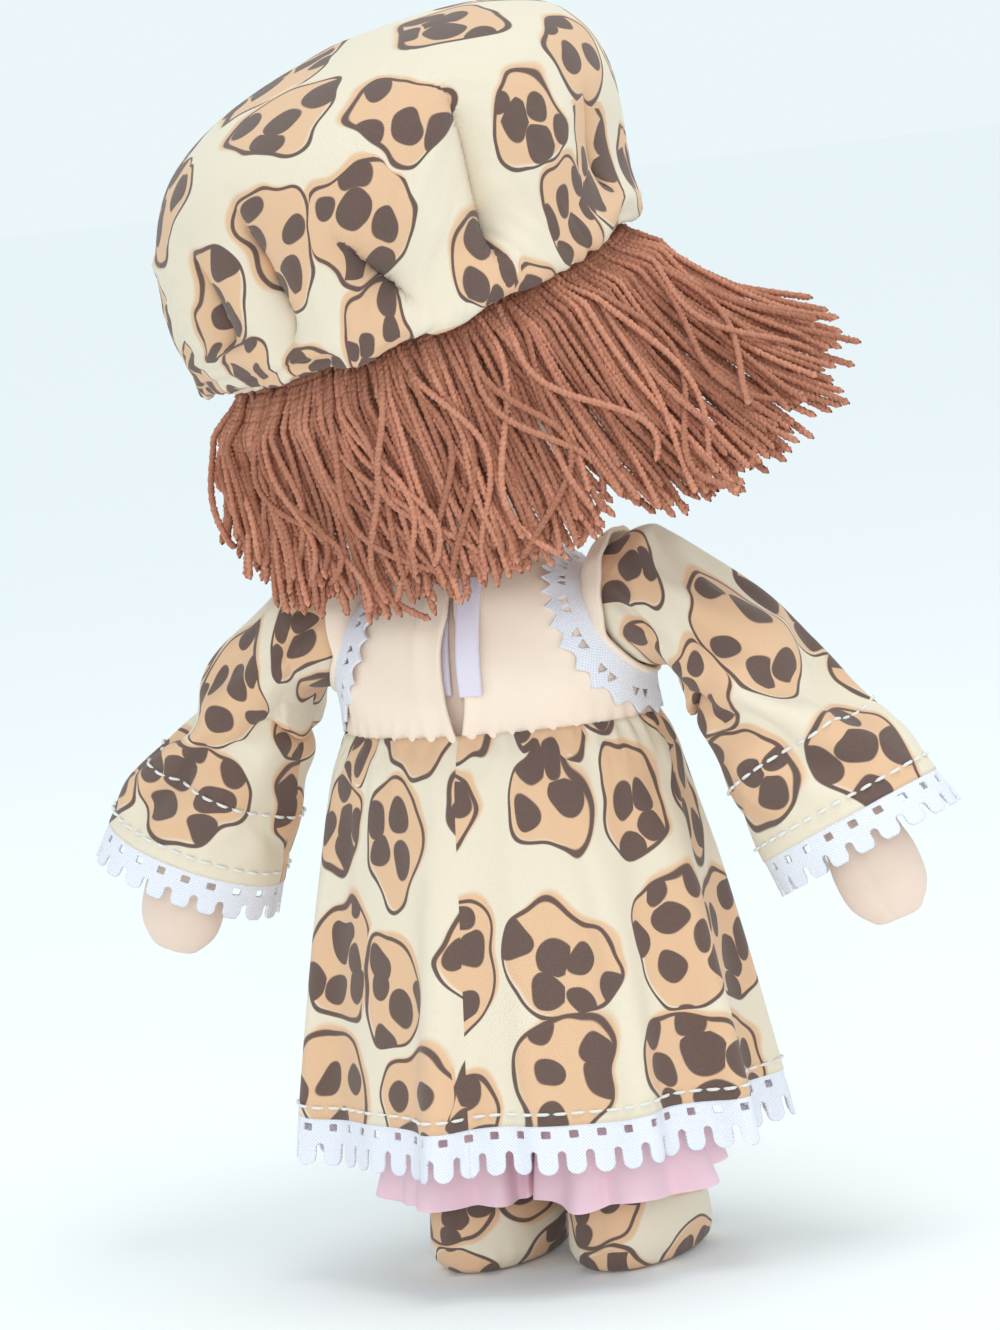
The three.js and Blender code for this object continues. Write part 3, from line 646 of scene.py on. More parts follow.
def printed_cotton():
    """Cream cotton with tan patches, each with a thin dark outline and round dark spots."""
    shader = Shader("print_cotton", sheen=0.15)
    place = shader.cloth_place()
    half = (0.5, 0.5, 0.5)
    fine = shader.vector("SUBTRACT", shader.noise(place, 0.13, 0.0, output=1), half)
    moved = shader.vector("ADD", place, shader.vector("MULTIPLY", fine, FINE_BEND))

    def cells(at, spacing, randomness):
        inputs = {"Vector": at, "Scale": 1 / spacing, "Randomness": randomness}
        return shader.add("ShaderNodeTexVoronoi", inputs, voronoi_dimensions="2D").outputs

    def off_edge(at, spacing, randomness, radius, spread):
        """Distance outside the nearest round of a scattered pattern, below 0 inside it."""
        found = cells(at, spacing, randomness)
        chance = shader.add("ShaderNodeSeparateColor", {0: found["Color"]}).outputs["Red"]
        far = shader.math("MULTIPLY", found["Distance"], spacing)
        return shader.math("SUBTRACT", far, shader.math("MULTIPLY_ADD", chance, spread, radius))

    def off_patch(at):
        wide = shader.vector("SUBTRACT", shader.noise(at, 0.06, 0.0, output=1), half)
        bent = shader.vector("ADD", at, shader.vector("MULTIPLY", wide, PATCH_BEND))
        return off_edge(bent, PATCH_SPACING, PATCH_SCATTER, PATCH_RADIUS, PATCH_SPREAD)

    edge = off_patch(moved)
    line = shader.below(shader.math("ABSOLUTE", edge), LINE_WIDTH / 2, LINE_SOFT)
    tan = shader.below(off_patch(shader.vector("ADD", moved, FILL_SHIFT)), 0.5, 0.6)
    off_spot = off_edge(moved, SPOT_SPACING, SPOT_SCATTER, SPOT_RADIUS, SPOT_SPREAD)
    spot = shader.below(off_spot, 0.0, 0.18)
    # A spot is printed where its middle lies well in a patch, as far as the patch's outline
    middle = cells(moved, SPOT_SPACING, SPOT_SCATTER)["Position"]
    in_patch = shader.math("LESS_THAN", off_patch(middle), -0.3)
    whole_spots = shader.math("MULTIPLY", spot, in_patch)
    spots = shader.math("MULTIPLY", whole_spots, shader.below(edge, 0.4, LINE_SOFT))

    uneven = shader.math("MULTIPLY", shader.noise(place, 1.6, 3.0), 0.5)
    brown = shader.mix(uneven, srgb(*DARK_BROWN), srgb(*WORN_BROWN))
    colour = shader.mix(tan, srgb(*CREAM), srgb(*TAN))
    colour = shader.mix(shader.math("MAXIMUM", line, spots), colour, brown)
    return shader.finish(colour, cotton_normal(shader, place))


def lace_cotton():
    shader = Shader("lace_cotton", sheen=0.2)
    threads = shader.weave(shader.cloth_place(), 0.7)
    # The lace is painted darker and bluer where its weave sinks, as painted shade between its threads
    colour = shader.mix(threads, srgb(226, 226, 238), srgb(246, 246, 252))
    return shader.finish(colour, shader.bump(threads, 0.15, 0.8))


def yarn_wool():
    """Brown yarn. Each strand has its own tone, and fine fibres run along it."""
    shader = Shader("yarn", roughness=0.95, sheen=0.35)
    shader.principled.inputs["Sheen Tint"].default_value = srgb(226, 170, 140)
    tone = shader.add("ShaderNodeAttribute", attribute_name="tone").outputs["Fac"]
    fibres = shader.noise(shader.vector("MULTIPLY", shader.cloth_place(), (4.0, 1.2, 0.0)), 1.0, 3.0)
    share = shader.math("ADD", shader.math("MULTIPLY", tone, 0.65), shader.math("MULTIPLY", fibres, 0.4))
    colour = shader.mix(share, srgb(163, 101, 79), srgb(240, 167, 137))
    return shader.finish(colour, shader.bump(fibres, 0.25, 0.8))


def thread_cotton(name, colour):
    shader = Shader(name, roughness=0.7, sheen=0.1)
    fibres = shader.noise(shader.object_place(), 3.0)
    return shader.finish(shader.mix(fibres, shade(colour, 0.8), colour))


SKIN_COLOUR = srgb(246, 220, 203)
PRINT = printed_cotton()
SKIN = cotton("skin_cotton", SKIN_COLOUR)
HIDDEN_SKIN = cotton("hidden_skin_cotton", SKIN_COLOUR, on_cloth=False)
WIG_TAPE = cotton("wig_tape_cotton", srgb(140, 92, 74), pitch=0.9, on_cloth=False)
BODICE = cotton("bodice_cotton", srgb(252, 230, 211), amount=0.04)
PINK = cotton("pink_cotton", srgb(255, 216, 229), amount=0.05)
LACE = lace_cotton()
TAPE = cotton("tape_cotton", srgb(236, 226, 240), pitch=0.8)
YARN = yarn_wool()
WHITE_THREAD = thread_cotton("white_thread", srgb(244, 243, 238))
BROWN_THREAD = thread_cotton("brown_thread", srgb(84, 58, 48))
ROSE_THREAD = thread_cotton("rose_thread", srgb(206, 110, 108))


# Threads and yarn

THREAD_TONE = 0.5
# Height of a stitch over the cloth along its length, in radii of its thread
STITCH_RISE = np.array((-0.6, 0.5, 0.9, 0.9, 0.5, -0.6))[:, None]


def across_path(path):
    """Two directions across a path at each of its points, which don't twist round it."""
    tangent = unit(np.gradient(path, axis=-2))
    spare = np.where(np.abs(tangent[..., :1, 2:]) > 0.9, (1.0, 0.0, 0.0), (0.0, 0.0, 1.0))
    side = np.empty_like(tangent)
    side[..., 0, :] = unit(np.cross(tangent[..., 0, :], spare[..., 0, :]))
    for i in range(1, path.shape[-2]):
        before = side[..., i - 1, :]
        here = tangent[..., i, :]
        side[..., i, :] = unit(before - here * np.sum(before * here, -1, keepdims=True))
    return side, np.cross(tangent, side)


def strand(path, radius, sides=6, pitch=None, flat=0.74):
    """Points and faces of a thread along a path. With a pitch it is two plies twisted together."""
    side, other = across_path(path)
    count = len(path)
    far = run(path)
    angle = ring_angles(sides)
    thin = radius * (flat if pitch else 1)
    spin = (TURN * far / pitch if pitch else 0 * far)[:, None]
    a, b = radius * np.cos(angle), thin * np.sin(angle)
    taper = np.minimum(1, np.sqrt(np.minimum(far, far[-1] - far) / radius + 0.08))[:, None]
    x = (a * np.cos(spin) - b * np.sin(spin)) * taper
    y = (a * np.sin(spin) + b * np.cos(spin)) * taper
    rings = path[:, None] + x[..., None] * side[:, None] + y[..., None] * other[:, None]
    cloth = stacked(np.linspace(0, TURN * radius, sides + 1)[None], far[:, None])
    corner = cloth.reshape(-1, 2)[quads(count, sides + 1, False).ravel()]
    return rings.reshape(-1, 3), quads(count, sides, True), corner


def stitch_row(path, outward, length, gap, radius=0.32):
    """Short stitches along a path of points, standing a little off the cloth."""
    far = run(path)
    parts = []
    for start in np.arange(gap, far[-1] - length, length + gap):
        places = start + length * np.linspace(0, 1, len(STITCH_RISE))
        line = read_at(places, far, path) + read_at(places, far, outward) * radius * STITCH_RISE
        parts.append((*strand(line, radius, sides=5), THREAD_TONE))
    return parts


# Head, with places on the face measured from its middle

EYE = (11.5, -4.0)
EYE_HALF = (2.4, 3.6)
EYE_THREADS = 10
SMILE_HALF = 6.5
SMILE_LOW = -17.5
SMILE_RISE = 2.2
BLUSH = (19.0, -13.0)
BLUSH_RADIUS = 4.0


def head_reach(angle, height, grow):
    """Distance from the wig's axis to the head grown by grow, at an angle and height of the wig."""
    scale = 1 / (HEAD_HALF + grow)
    zero = np.zeros_like(angle)
    out = np.stack([np.cos(angle), np.sin(angle), zero], -1) @ WIG_TURN.T * scale
    up = np.stack([zero, zero, height + zero], -1) @ WIG_TURN.T * scale
    a = np.sum(out * out, -1)
    b = np.sum(out * up, -1)
    inside = b * b - a * (np.sum(up * up, -1) - 1)
    return (-b + np.sqrt(np.maximum(inside, 0))) / a


def on_face(x, z, out=0.0):
    """A point on the front of the head at a place beside and above its middle."""
    x, z = np.asarray(x, float), np.asarray(z, float)
    half = HEAD_HALF + np.asarray(out, float)[..., None]
    y = -half[..., 1] * np.sqrt(np.maximum(1 - (x / half[..., 0]) ** 2 - (z / half[..., 2]) ** 2, 0))
    return from_head(np.stack([x, y, z], -1))


def head_skin():
    """Skin with a round blush on each cheek."""
    shader = Shader("head_cotton", sheen=0.15)
    place = shader.cloth_place()
    patches = shader.noise(place, 0.05, 3.0)
    skin = shader.mix(patches, shade(SKIN_COLOUR, 0.92), SKIN_COLOUR)
    split = shader.add("ShaderNodeSeparateXYZ", {0: place})
    beside = shader.math("SUBTRACT", shader.math("ABSOLUTE", split.outputs["X"]), BLUSH[0])
    above = shader.math("SUBTRACT", split.outputs["Y"], BLUSH[1])
    squares = [shader.math("POWER", offset, 2.0) for offset in (beside, above)]
    far = shader.math("POWER", shader.math("ADD", *squares), 0.5)
    cheek = shader.math("MULTIPLY", shader.below(far, BLUSH_RADIUS, BLUSH_RADIUS), 0.5)
    return shader.finish(shader.mix(cheek, skin, srgb(238, 150, 140)), cotton_normal(shader, place))


def make_head():
    """A round stuffed head with soft lumps."""
    rows, cols = 40, 72
    up = np.linspace(-0.5, 0.5, rows)[1:-1, None] * math.pi
    angle = ring_angles(cols + 1, closed=True)
    lumps = crumple(3, 6, 14, 40)(angle * HEAD_HALF[0], up * HEAD_HALF[2]) * 0.25
    lumps[:, -1] = lumps[:, 0]
    out = 1 + lumps / HEAD_HALF[0]
    grid = from_head(ball(up, angle) * HEAD_HALF * out[..., None])
    # The cloth places are measured from the middle of the face, at three quarters of a turn
    cloth = stacked((angle - 0.75 * TURN) * HEAD_HALF[0], up * HEAD_HALF[2])
    skin = head_skin()
    stuffed_piece("head", grid[:, :-1], cloth, skin, "head", "head_skin", "head_stuffing", fill=0.9)


def satin_oval(x, z, half_width, half_height, count):
    """Threads laid side by side that fill an oval on the face."""
    parts = []
    for share in np.linspace(-0.94, 0.94, count):
        reach = half_height * math.sqrt(1 - share * share)
        line = np.linspace(-reach, reach, 7)
        stand = 0.35 + 0.5 * np.cos(np.linspace(-1.4, 1.4, 7))
        path = on_face(x + share * half_width + 0 * line, z + line, stand)
        parts.append((*strand(path, 0.34, sides=5), THREAD_TONE))
    return parts


def make_face():
    """A plain face: two sewn oval eyes and a short sewn smile."""
    eyes = []
    for side in SIDES.values():
        eyes += satin_oval(EYE[0] * side, EYE[1], *EYE_HALF, EYE_THREADS)
    dress(join("face_eyes", eyes), BROWN_THREAD, "head", "yarn")
    bend = np.linspace(-1, 1, 40)
    smile = on_face(SMILE_HALF * bend, SMILE_LOW + SMILE_RISE * bend**2, 0.1)
    outward = unit(smile - HEAD_MIDDLE)
    dress(join("face_smile", stitch_row(smile, outward, 1.9, 0.35)), ROSE_THREAD, "head", "yarn")


# Yarn wig


def hank_shape(angle):
    """Height of the yarn's ends and how far they stand out, at an angle round the wig."""
    behind = np.maximum(np.sin(angle), 0) ** 2
    leftward = 0.5 + 0.5 * np.cos(angle)
    longer = SWEEP_LENGTH * bell(angle - SWEEP_ANGLE, SWEEP_REACH)
    length, flare = (
        mixed(mixed(right, left, leftward), back, behind) for right, left, back in (HANK_LENGTH, HANK_FLARE)
    )
    return -(length + longer), flare


def yarn_paths(random, angles, fringe):
    """Paths of strands that leave the wig at these angles, in the wig's frame."""
    count, steps = len(angles), 70
    share = np.linspace(0, 1, steps)[None]
    layer = random.uniform(0, 1, count)[:, None]
    end, flare = hank_shape(angles)
    drifting, uneven, uneven_clumps, straying = FRINGE_FALL if fringe else HANK_FALL
    if fringe:
        end, flare = np.full(count, FRINGE_END), np.zeros(count)
    spread = random.normal(0, 1, (6, count, 1))
    # Strands lie in clumps that drift, lift and end together, and a few stray from them
    clump = random.normal(0, 1, (3, count // CLUMP + 1, 1))[:, np.arange(count) // CLUMP]
    stray = (random.uniform(0, 1, (count, 1)) < STRAY_SHARE) * straying
    drop = HAIR_TOP - end[:, None]
    trim = 1.02 - uneven * np.abs(spread[0]) - uneven_clumps * np.abs(clump[0])
    height = HAIR_TOP - drop * trim * share
    drift = drifting * (0.8 * spread[1] + 0.9 * clump[1])
    sway = np.radians(1.8 + 11 * stray) * np.sin(TURN * (share * (0.9 + 0.2 * spread[2]) + spread[3]))
    angle = angles[:, None] + (drift * share**1.4 + sway * share)
    reach = np.maximum.accumulate(head_reach(angle, height, 1.6), axis=1)
    below = smooth(BAND_LOW - 1.0 - height, 0, 9)
    radius = reach + flare[:, None] * (1 + 0.12 * spread[4]) * share**2
    radius = radius + below * layer * mixed(6.4, 3.0, share**2)
    radius = radius + 0.9 * share * np.sin(TURN * (1.3 * share + spread[5]))
    radius = radius + share**1.5 * np.maximum(clump[2], -0.5) + 4 * stray * np.sin(math.pi * share)
    inside = BAND_RADIUS - 1.6 - 2.2 * (1 - layer)
    radius = mixed(np.minimum(radius, inside), radius, below)
    return np.stack([radius * np.cos(angle), radius * np.sin(angle), height], -1)


def even_path(path, step):
    """The same path with points this far apart."""
    far = run(path)
    return read_at(np.linspace(0, far[-1], max(8, int(far[-1] / step))), far, path)


def make_hank(name, low, high, seed, fringe=False):
    random = np.random.default_rng(seed)
    count = int((high - low) * STRANDS_PER_DEGREE)
    angles = np.radians(np.linspace(low, high, count) + random.normal(0, 0.8, count))
    parts = []
    for path in yarn_paths(random, angles, fringe):
        thread = strand(even_path(from_wig(path), 0.9), YARN_RADIUS, pitch=YARN_PITCH)
        parts.append((*thread, random.uniform(0.1, 1.0)))
    dress(join(f"yarn_{name}", parts), YARN, "head", "yarn", f"hair_{name}")


# Cap

# Distance in from the edge of the flat round, then the crown's radius and height over the band's edge
CROWN_PROFILE = through(
    [
        (0, 40.6, 3.0),
        (5, 42.0, -0.6),
        (10, 43.4, 1.0),
        (15, 44.8, 5.4),
        (26, 46.6, 15.5),
        (38, 45.6, 27.0),
        (50, 41.0, 36.9),
        (62, 31.5, 43.4),
        (73, 20.2, 46.7),
        (CROWN_FLAT_RADIUS, 0.0, 48.2),
    ]
)
CROWN_GATHERS = 14
CROWN_PUFF = 3.2
CROWN_FLOP = 7.0  # the crown leans back to the doll's right over its tipped band
TUCK_VALLEY = math.radians(9)  # reach of the dip along a tuck
TUCK_CREASE = math.radians(1.9)  # reach of the narrow crease in the middle of it
TUCK_OVERHANG = math.radians(5)  # reach of the puff that hangs over the crease
# Angle round the band at the foot and top of each tuck, its depth, its height and its overhung side
CROWN_TUCKS = [
    (62, 54, 5.0, 32, -1),
    (84, 71, 6.5, 38, -1),
    (119, 96, 7.0, 25, 1),
    (136, 136, 8.5, 42, -1),
    (180, 176, 5.0, 28, 1),
    (230, 226, 5.0, 30, -1),
    (290, 296, 5.0, 30, 1),
    (350, 346, 4.5, 28, -1),
]


def round_grid(count, radius):
    """A square grid of points spread over a flat disc, so that it has no crowded middle."""
    a, b = np.meshgrid(np.linspace(-1, 1, count), np.linspace(-1, 1, count))
    wide = np.abs(a) > np.abs(b)
    reach = np.where(wide, a, b)
    slope = np.where(wide, b / np.where(a == 0, 1, a), a / np.where(b == 0, 1, b)) * math.pi / 4
    x = reach * np.where(wide, np.cos(slope), np.sin(slope))
    y = reach * np.where(wide, np.sin(slope), np.cos(slope))
    return radius * np.stack([x, y], -1)


def tuck_lines(height, angle):
    """For each tuck: its depth at a height, the angle from its line and its overhung side."""
    for foot, head, deepest, top, overhung in CROWN_TUCKS:
        fade = smooth(height, 4, 11) * (1 - smooth(height, 0.5 * top, top))
        middle = np.radians(mixed(foot, head, np.clip(height / top, 0, 1)))
        yield deepest * fade, (angle - middle + math.pi) % TURN - math.pi, overhung


def crown_tucks(height, angle):
    """How deep the tucks draw the crown in."""
    lines = tuck_lines(height, angle)
    return np.max([depth * np.exp(-np.abs(beside) / TUCK_VALLEY) for depth, beside, _ in lines], axis=0)


def crown_place(out, angle, grow):
    """A point on the crown, grown outward, in the wig's frame."""
    radius, height = np.moveaxis(CROWN_PROFILE(out), -1, 0)
    radius = radius - crown_tucks(height, angle) + grow * np.minimum(1, radius / 12)
    height = height + grow * smooth(out, 30, 80) + 0 * angle
    flop = CROWN_FLOP * smooth(height, 0, 46)
    return np.stack([radius * np.cos(angle) - flop, radius * np.sin(angle), BAND_LOW + height], -1)


def creased(points, out, angle):
    """The crown with each tuck closed to a narrow crease, which the puff on one side hangs over."""
    outward = stacked(np.cos(angle), np.sin(angle), 0)
    along = stacked(-np.sin(angle), np.cos(angle), 0)
    for depth, beside, overhung in tuck_lines(CROWN_PROFILE(out)[..., 1], angle):
        far = np.abs(beside)
        inward = 0.8 * depth * np.exp(-far / TUCK_CREASE)
        past_crease = smooth(far, 0.2 * TUCK_CREASE, 1.2 * TUCK_CREASE)
        hang = 0.36 * depth * np.exp(-far / TUCK_OVERHANG) * past_crease
        hang = np.where(beside * overhung > 0, -overhung * hang, 0)
        points = points - inward[..., None] * outward + hang[..., None] * along
    return points


def ironed(grid, passes):
    """A grid of points with its finest crumples smoothed out, its edge kept."""
    for _ in range(passes):
        around = grid[:-2, 1:-1] + grid[2:, 1:-1] + grid[1:-1, :-2] + grid[1:-1, 2:]
        grid = grid.copy()
        grid[1:-1, 1:-1] = (4 * grid[1:-1, 1:-1] + around) / 8
    return grid


def refined(grid):
    """A grid of points with one more between each pair, on a smooth curve through them."""
    for axis in (0, 1):
        rows = np.moveaxis(grid, axis, 0)
        slope = np.gradient(rows, axis=0)
        fine = np.repeat(rows, 2, axis=0)[:-1]
        fine[1::2] = (rows[:-1] + rows[1:]) / 2 + (slope[:-1] - slope[1:]) / 8
        grid = np.moveaxis(fine, 0, axis)
    return grid


def crown_form():
    """The puff of the cap's lining, which the crown lies over."""
    out = np.linspace(4, CROWN_FLAT_RADIUS - 3, 30)[:, None]
    angle = ring_angles(90)
    grid = crown_place(out + 0 * angle, angle + 0 * out, -2.4)
    rows, cols = grid.shape[:2]
    top = list(range((rows - 1) * cols, rows * cols))
    return grid.reshape(-1, 3), quads(rows, cols, True).tolist() + [top]


def crown_flat(count):
    """A grid of places on the flat round, each one's distance in from the edge and its angle."""
    flat = round_grid(count, CROWN_FLAT_RADIUS)
    x, y = flat[..., 0], flat[..., 1]
    return flat, CROWN_FLAT_RADIUS - np.hypot(x, y), np.arctan2(y, x)


def make_crown():
    """A round of cloth gathered on the band and puffed out over it."""
    count = 72
    flat, out, angle = crown_flat(count)
    swing = CROWN_GATHERS / 2 * angle + 0.7 * ripple(12, 4, 1, 4)(angle)
    puffs = np.sqrt(np.abs(np.sin(swing)))
    puffed = CROWN_PUFF * smooth(out, 0, 6) * np.exp(-out / 24) * (puffs - 0.7) + 0.4
    start = crown_place(out, angle, puffed)
    between = 1 - crown_tucks(np.full(out.shape, 11.0), angle) / 8
    start[..., 2] -= (1.2 * puffs + 2.4 * between) * bell(out - 9, 7)
    rest = stacked(flat[..., 0], flat[..., 1], 0.0)
    faces = quads(count, count, False).tolist()
    held = out < 0.01
    for depth, beside, _ in tuck_lines(CROWN_PROFILE(out)[..., 1], angle):
        held = held | (depth * np.exp(-np.abs(beside) / TUCK_CREASE) > 2)
    points = settle(
        start.reshape(-1, 3), faces, rest.reshape(-1, 3), np.flatnonzero(held), 40, body=crown_form(),
        gravity=0.3, use_pressure=True, uniform_pressure_force=0.3, touch_itself=True,
        tension_stiffness=12, compression_stiffness=10, shear_stiffness=6, bending_stiffness=1.0,
    )
    flat, out, angle = crown_flat(2 * count - 1)
    grid = from_wig(creased(refined(ironed(points.reshape(count, count, 3), 2)), out, angle))
    crown = cloth_piece(
        "cap_crown_cloth", grid, flat, PRINT, "cap", "print_cotton", "cap_crown", joined=False
    )
    band = make_band()


def make_band():
    """The elastic casing inside the cap's mouth, finely gathered."""
    rows, cols = 7, 264
    angle = ring_angles(cols)
    height = np.linspace(BAND_LOW - 0.4, BAND_LOW + BAND_HEIGHT, rows)[:, None]
    radius = BAND_RADIUS - 0.4 + 0.45 * np.cos(66 * angle + 1.4 * ripple(21, 4, 2, 9)(angle))
    grid = stacked(radius * np.cos(angle), radius * np.sin(angle), height)
    cloth = flat_places(rows, cols + 1, 1.8 * TURN * BAND_RADIUS, BAND_HEIGHT)
    return cloth_piece("cap_band_cloth", from_wig(grid), cloth, PRINT, "cap", "print_cotton", "cap_band")


# Torso and bodice


def over_torso(angle, z, off):
    """Points round the torso, standing off it."""
    half = TORSO(z)
    x = (half[..., 0] + off) * np.cos(angle)
    y = np.maximum(half[..., 1] + off, 0.4) * np.sin(angle)
    return stacked(x, y, z)


def make_torso():
    """A stuffed torso, puckered where the neck and the legs are sewn on."""
    rows, cols = 34, 64
    z = np.linspace(TORSO_KEYS[0][0], NECK_Z, rows)[:, None]
    angle = ring_angles(cols + 1, closed=True)
    at_neck = 0.3 * np.cos(16 * angle) * np.exp(-(NECK_Z - z) / 5)
    at_legs = 0.25 * np.cos(24 * angle) * np.exp(-(z - 69) / 6)
    grid = over_torso(angle, z + 0 * angle, at_neck + at_legs)
    cloth = flat_places(rows, cols + 1, *TORSO_CLOTH)
    stuffed_piece("torso", grid[:, :-1], cloth, SKIN, "torso", "torso_skin", "torso_stuffing")


def make_neck():
    rows, cols = 14, 64
    rise = np.linspace(-0.28, 0.48 * math.pi, rows)[:, None]
    angle = ring_angles(cols + 1, closed=True)
    pinched = 1 - 0.03 * np.cos(12 * angle)[..., None] * np.cos(rise)[..., None]
    grid = NOD + NECK_RADIUS * ball(rise, angle) * pinched
    cloth = flat_places(rows, cols + 1, *NECK_CLOTH)
    stuffed_piece("neck_stub", grid[:, :-1], cloth, SKIN, "neck", "neck")


def on_cup(side, far, open_angle, round_angle):
    """A point at a distance from a shoulder joint.

    open_angle is measured from the way in, and round_angle from the top to the back.
    """
    inward = -side * np.cos(open_angle)
    back = np.sin(open_angle) * np.sin(round_angle)
    up = np.sin(open_angle) * np.cos(round_angle)
    return SHOULDER * (side, 1, 1) + far[..., None] * np.stack([inward, back, up], -1)


def cup_meets_torso(far, round_angle, off):
    """The opening angle at which a ball round the shoulder joint meets a layer over the torso."""
    low, high = np.zeros(far.shape), np.full(far.shape, 0.6 * math.pi)
    for _ in range(28):
        middle = (low + high) / 2
        point = on_cup(1, far, middle, round_angle)
        half = TORSO(point[..., 2]) + off
        inside = (point[..., 0] / half[..., 0]) ** 2 + (point[..., 1] / half[..., 1]) ** 2 < 1
        low, high = np.where(inside, middle, low), np.where(inside, high, middle)
    return low


def make_bodice():
    """A bodice open down the back, with a soft folded edge at each armhole."""
    rows, cols = 64, 300
    z = np.linspace(WAIST_Z - 1.2, NECKLINE_Z, rows)[:, None]
    opened = 0.3 + 0.42 * BACK_SLIT * np.sin(math.pi * np.clip((z - WAIST_Z) / 23, 0, 1))
    open_half = opened / TORSO(WAIST_Z)[1]
    share = np.linspace(0, 1, cols)[None]
    angle = TURN / 4 + open_half + share * (TURN - 2 * open_half)
    places = over_torso(angle, z + 0 * share, BODICE_OFF)
    keep = np.full((rows, cols), 99.0)
    for side in SIDES.values():
        off_joint = np.linalg.norm(places - SHOULDER * (side, 1, 1), axis=-1)
        keep = np.minimum(keep, off_joint - ARMHOLE_RADIUS)
    cloth = stacked(share * BODICE_GIRTH, z)
    crumpled = 0.55 * crumple(31, 7, 16, 44)(cloth[..., 0], cloth[..., 1])
    pull = crumpled * smooth(z, WAIST_Z, WAIST_Z + 8) * smooth(keep, 0, 6)
    gather = 0.25 * np.cos(46 * angle + ripple(32, 4, 2, 7)(angle)) * np.exp(-(z - WAIST_Z) / 3)
    edge = np.minimum(share, 1 - share) * BODICE_GIRTH
    fold = 0.7 * bell(edge, 1.6) + 0.3 * bell(edge - 5, 1.2)
    grid = over_torso(angle, z + 0 * share, BODICE_OFF + pull + gather + fold)
    body = thicken(cut_sheet("bodice", grid, cloth, keep), CLOTH)
    dress(body, BODICE, "torso", "bodice_cotton", "bodice_front", "bodice_back_left", "bodice_back_right")
    trims = []
    for name, side in SIDES.items():
        trims += [armhole_edge(name, side), armhole_lace(name, side)]
    half_slit = BACK_SLIT / 2
    trims.append(make_closure("closure_hooks", "closure_hook_tape", half_slit + 0.3, 0.8))
    loops_x = -half_slit - 0.3 - CLOSURE_WIDTH
    trims.append(make_closure("closure_loops", "closure_loop_tape", loops_x, BODICE_OFF + 1.9))


def armhole_edge(name, side):
    """The bodice's folded edge round the head of a sleeve."""
    rows, cols = 10, 96
    round_angle = ring_angles(cols)
    start = cup_meets_torso(np.full(cols, ARMHOLE_RADIUS), round_angle[0], BODICE_OFF)[None]
    share = np.linspace(0, 1, rows)[:, None]
    open_angle = mixed(start - 0.02, np.maximum(EDGE_OPENING, start + 0.16), share)
    loose = 0.25 * ripple(33, 5, 3, 11)(round_angle) * share
    far = ARMHOLE_RADIUS + 0.7 * np.sin(math.pi * share) + loose
    grid = on_cup(side, far, open_angle, round_angle)
    cloth = flat_places(rows, cols + 1, *EDGE_CLOTH)
    return cloth_piece(f"armhole_edge_{name}", grid, cloth, BODICE, "torso", "bodice_cotton", levels=1)


def armhole_lace(name, side):
    """Lace sewn along an armhole's edge, with pointed teeth and pairs of slanting openings."""
    rows, repeats, per_repeat = 22, 14, 22
    round_angle = ring_angles(repeats * per_repeat + 1, closed=True)
    across = np.linspace(0, ARMHOLE_LACE_WIDTH, rows)[:, None]
    width_share = across / ARMHOLE_LACE_WIDTH
    along = round_angle / TURN * repeats * ARMHOLE_LACE_PERIOD
    top = smooth(np.cos(round_angle), 0.1, 0.9)
    far = ARMHOLE_RADIUS + 0.6 + across + 0 * along
    wavy = 0.5 * ripple(34, 5, 5, 15)(round_angle) * width_share**1.5
    off = BODICE_OFF + 1.4 + wavy + 2.6 * top * width_share**1.6
    open_angle = cup_meets_torso(far, round_angle + 0 * across, off[..., None])
    grid = on_cup(side, far, open_angle, round_angle + 0 * across)
    half_period = ARMHOLE_LACE_PERIOD / 2
    teeth = ARMHOLE_LACE_WIDTH - 1.7 * np.abs(np.sin(TURN / 2 * along / half_period)) - across
    pair = np.abs((along % ARMHOLE_LACE_PERIOD) - half_period) - 1.15
    down = across - 4.0
    eyelet = np.maximum(-down, 0.87 * np.abs(pair) + 0.5 * down) - 0.6
    lace = cut_sheet(f"armhole_lace_trim_{name}", grid, stacked(along, across), np.minimum(teeth, eyelet))
    return dress(thicken(lace, LACE_THICKNESS), LACE, "torso", "lace", f"armhole_lace_{name}")


def make_closure(name, node, from_x, off):
    """A strip of touch-fastening tape beside the back slit."""
    rows, cols = 40, 9
    z = np.linspace(NECKLINE_Z - CLOSURE_LENGTH, NECKLINE_Z - 0.3, rows)[:, None]
    x = np.linspace(from_x, from_x + CLOSURE_WIDTH, cols)[None]
    half = TORSO(z + 0 * x) + off
    lift = 0.25 * np.sin(z / 2.3) * (x - from_x) / CLOSURE_WIDTH
    grid = stacked(x, half[..., 1] * np.sqrt(1 - (x / half[..., 0]) ** 2) + lift, z)
    cloth = flat_places(rows, cols, CLOSURE_WIDTH, CLOSURE_LENGTH)
    return cloth_piece(
        name, grid, cloth, TAPE, "torso", "tape", node, joined=False, thickness=TAPE_THICKNESS
    )


# Skirt


def oval(angle, half_width, half_depth, z):
    return stacked(half_width * np.cos(angle), half_depth * np.sin(angle), z)


def skirt_place(share, angle, grow):
    """A point on the skirt, grown outward, at a share of its length down from the waist."""
    eased = share**0.75
    half = TORSO(WAIST_Z) + 2.4
    wide = mixed(half[0], HEM_HALF[0] - 2, eased)
    deep = mixed(half[1], HEM_HALF[1] - 2, eased)
    return oval(angle, wide + grow, deep + grow, WAIST_Z + 0.5 - share * SKIRT_LENGTH)


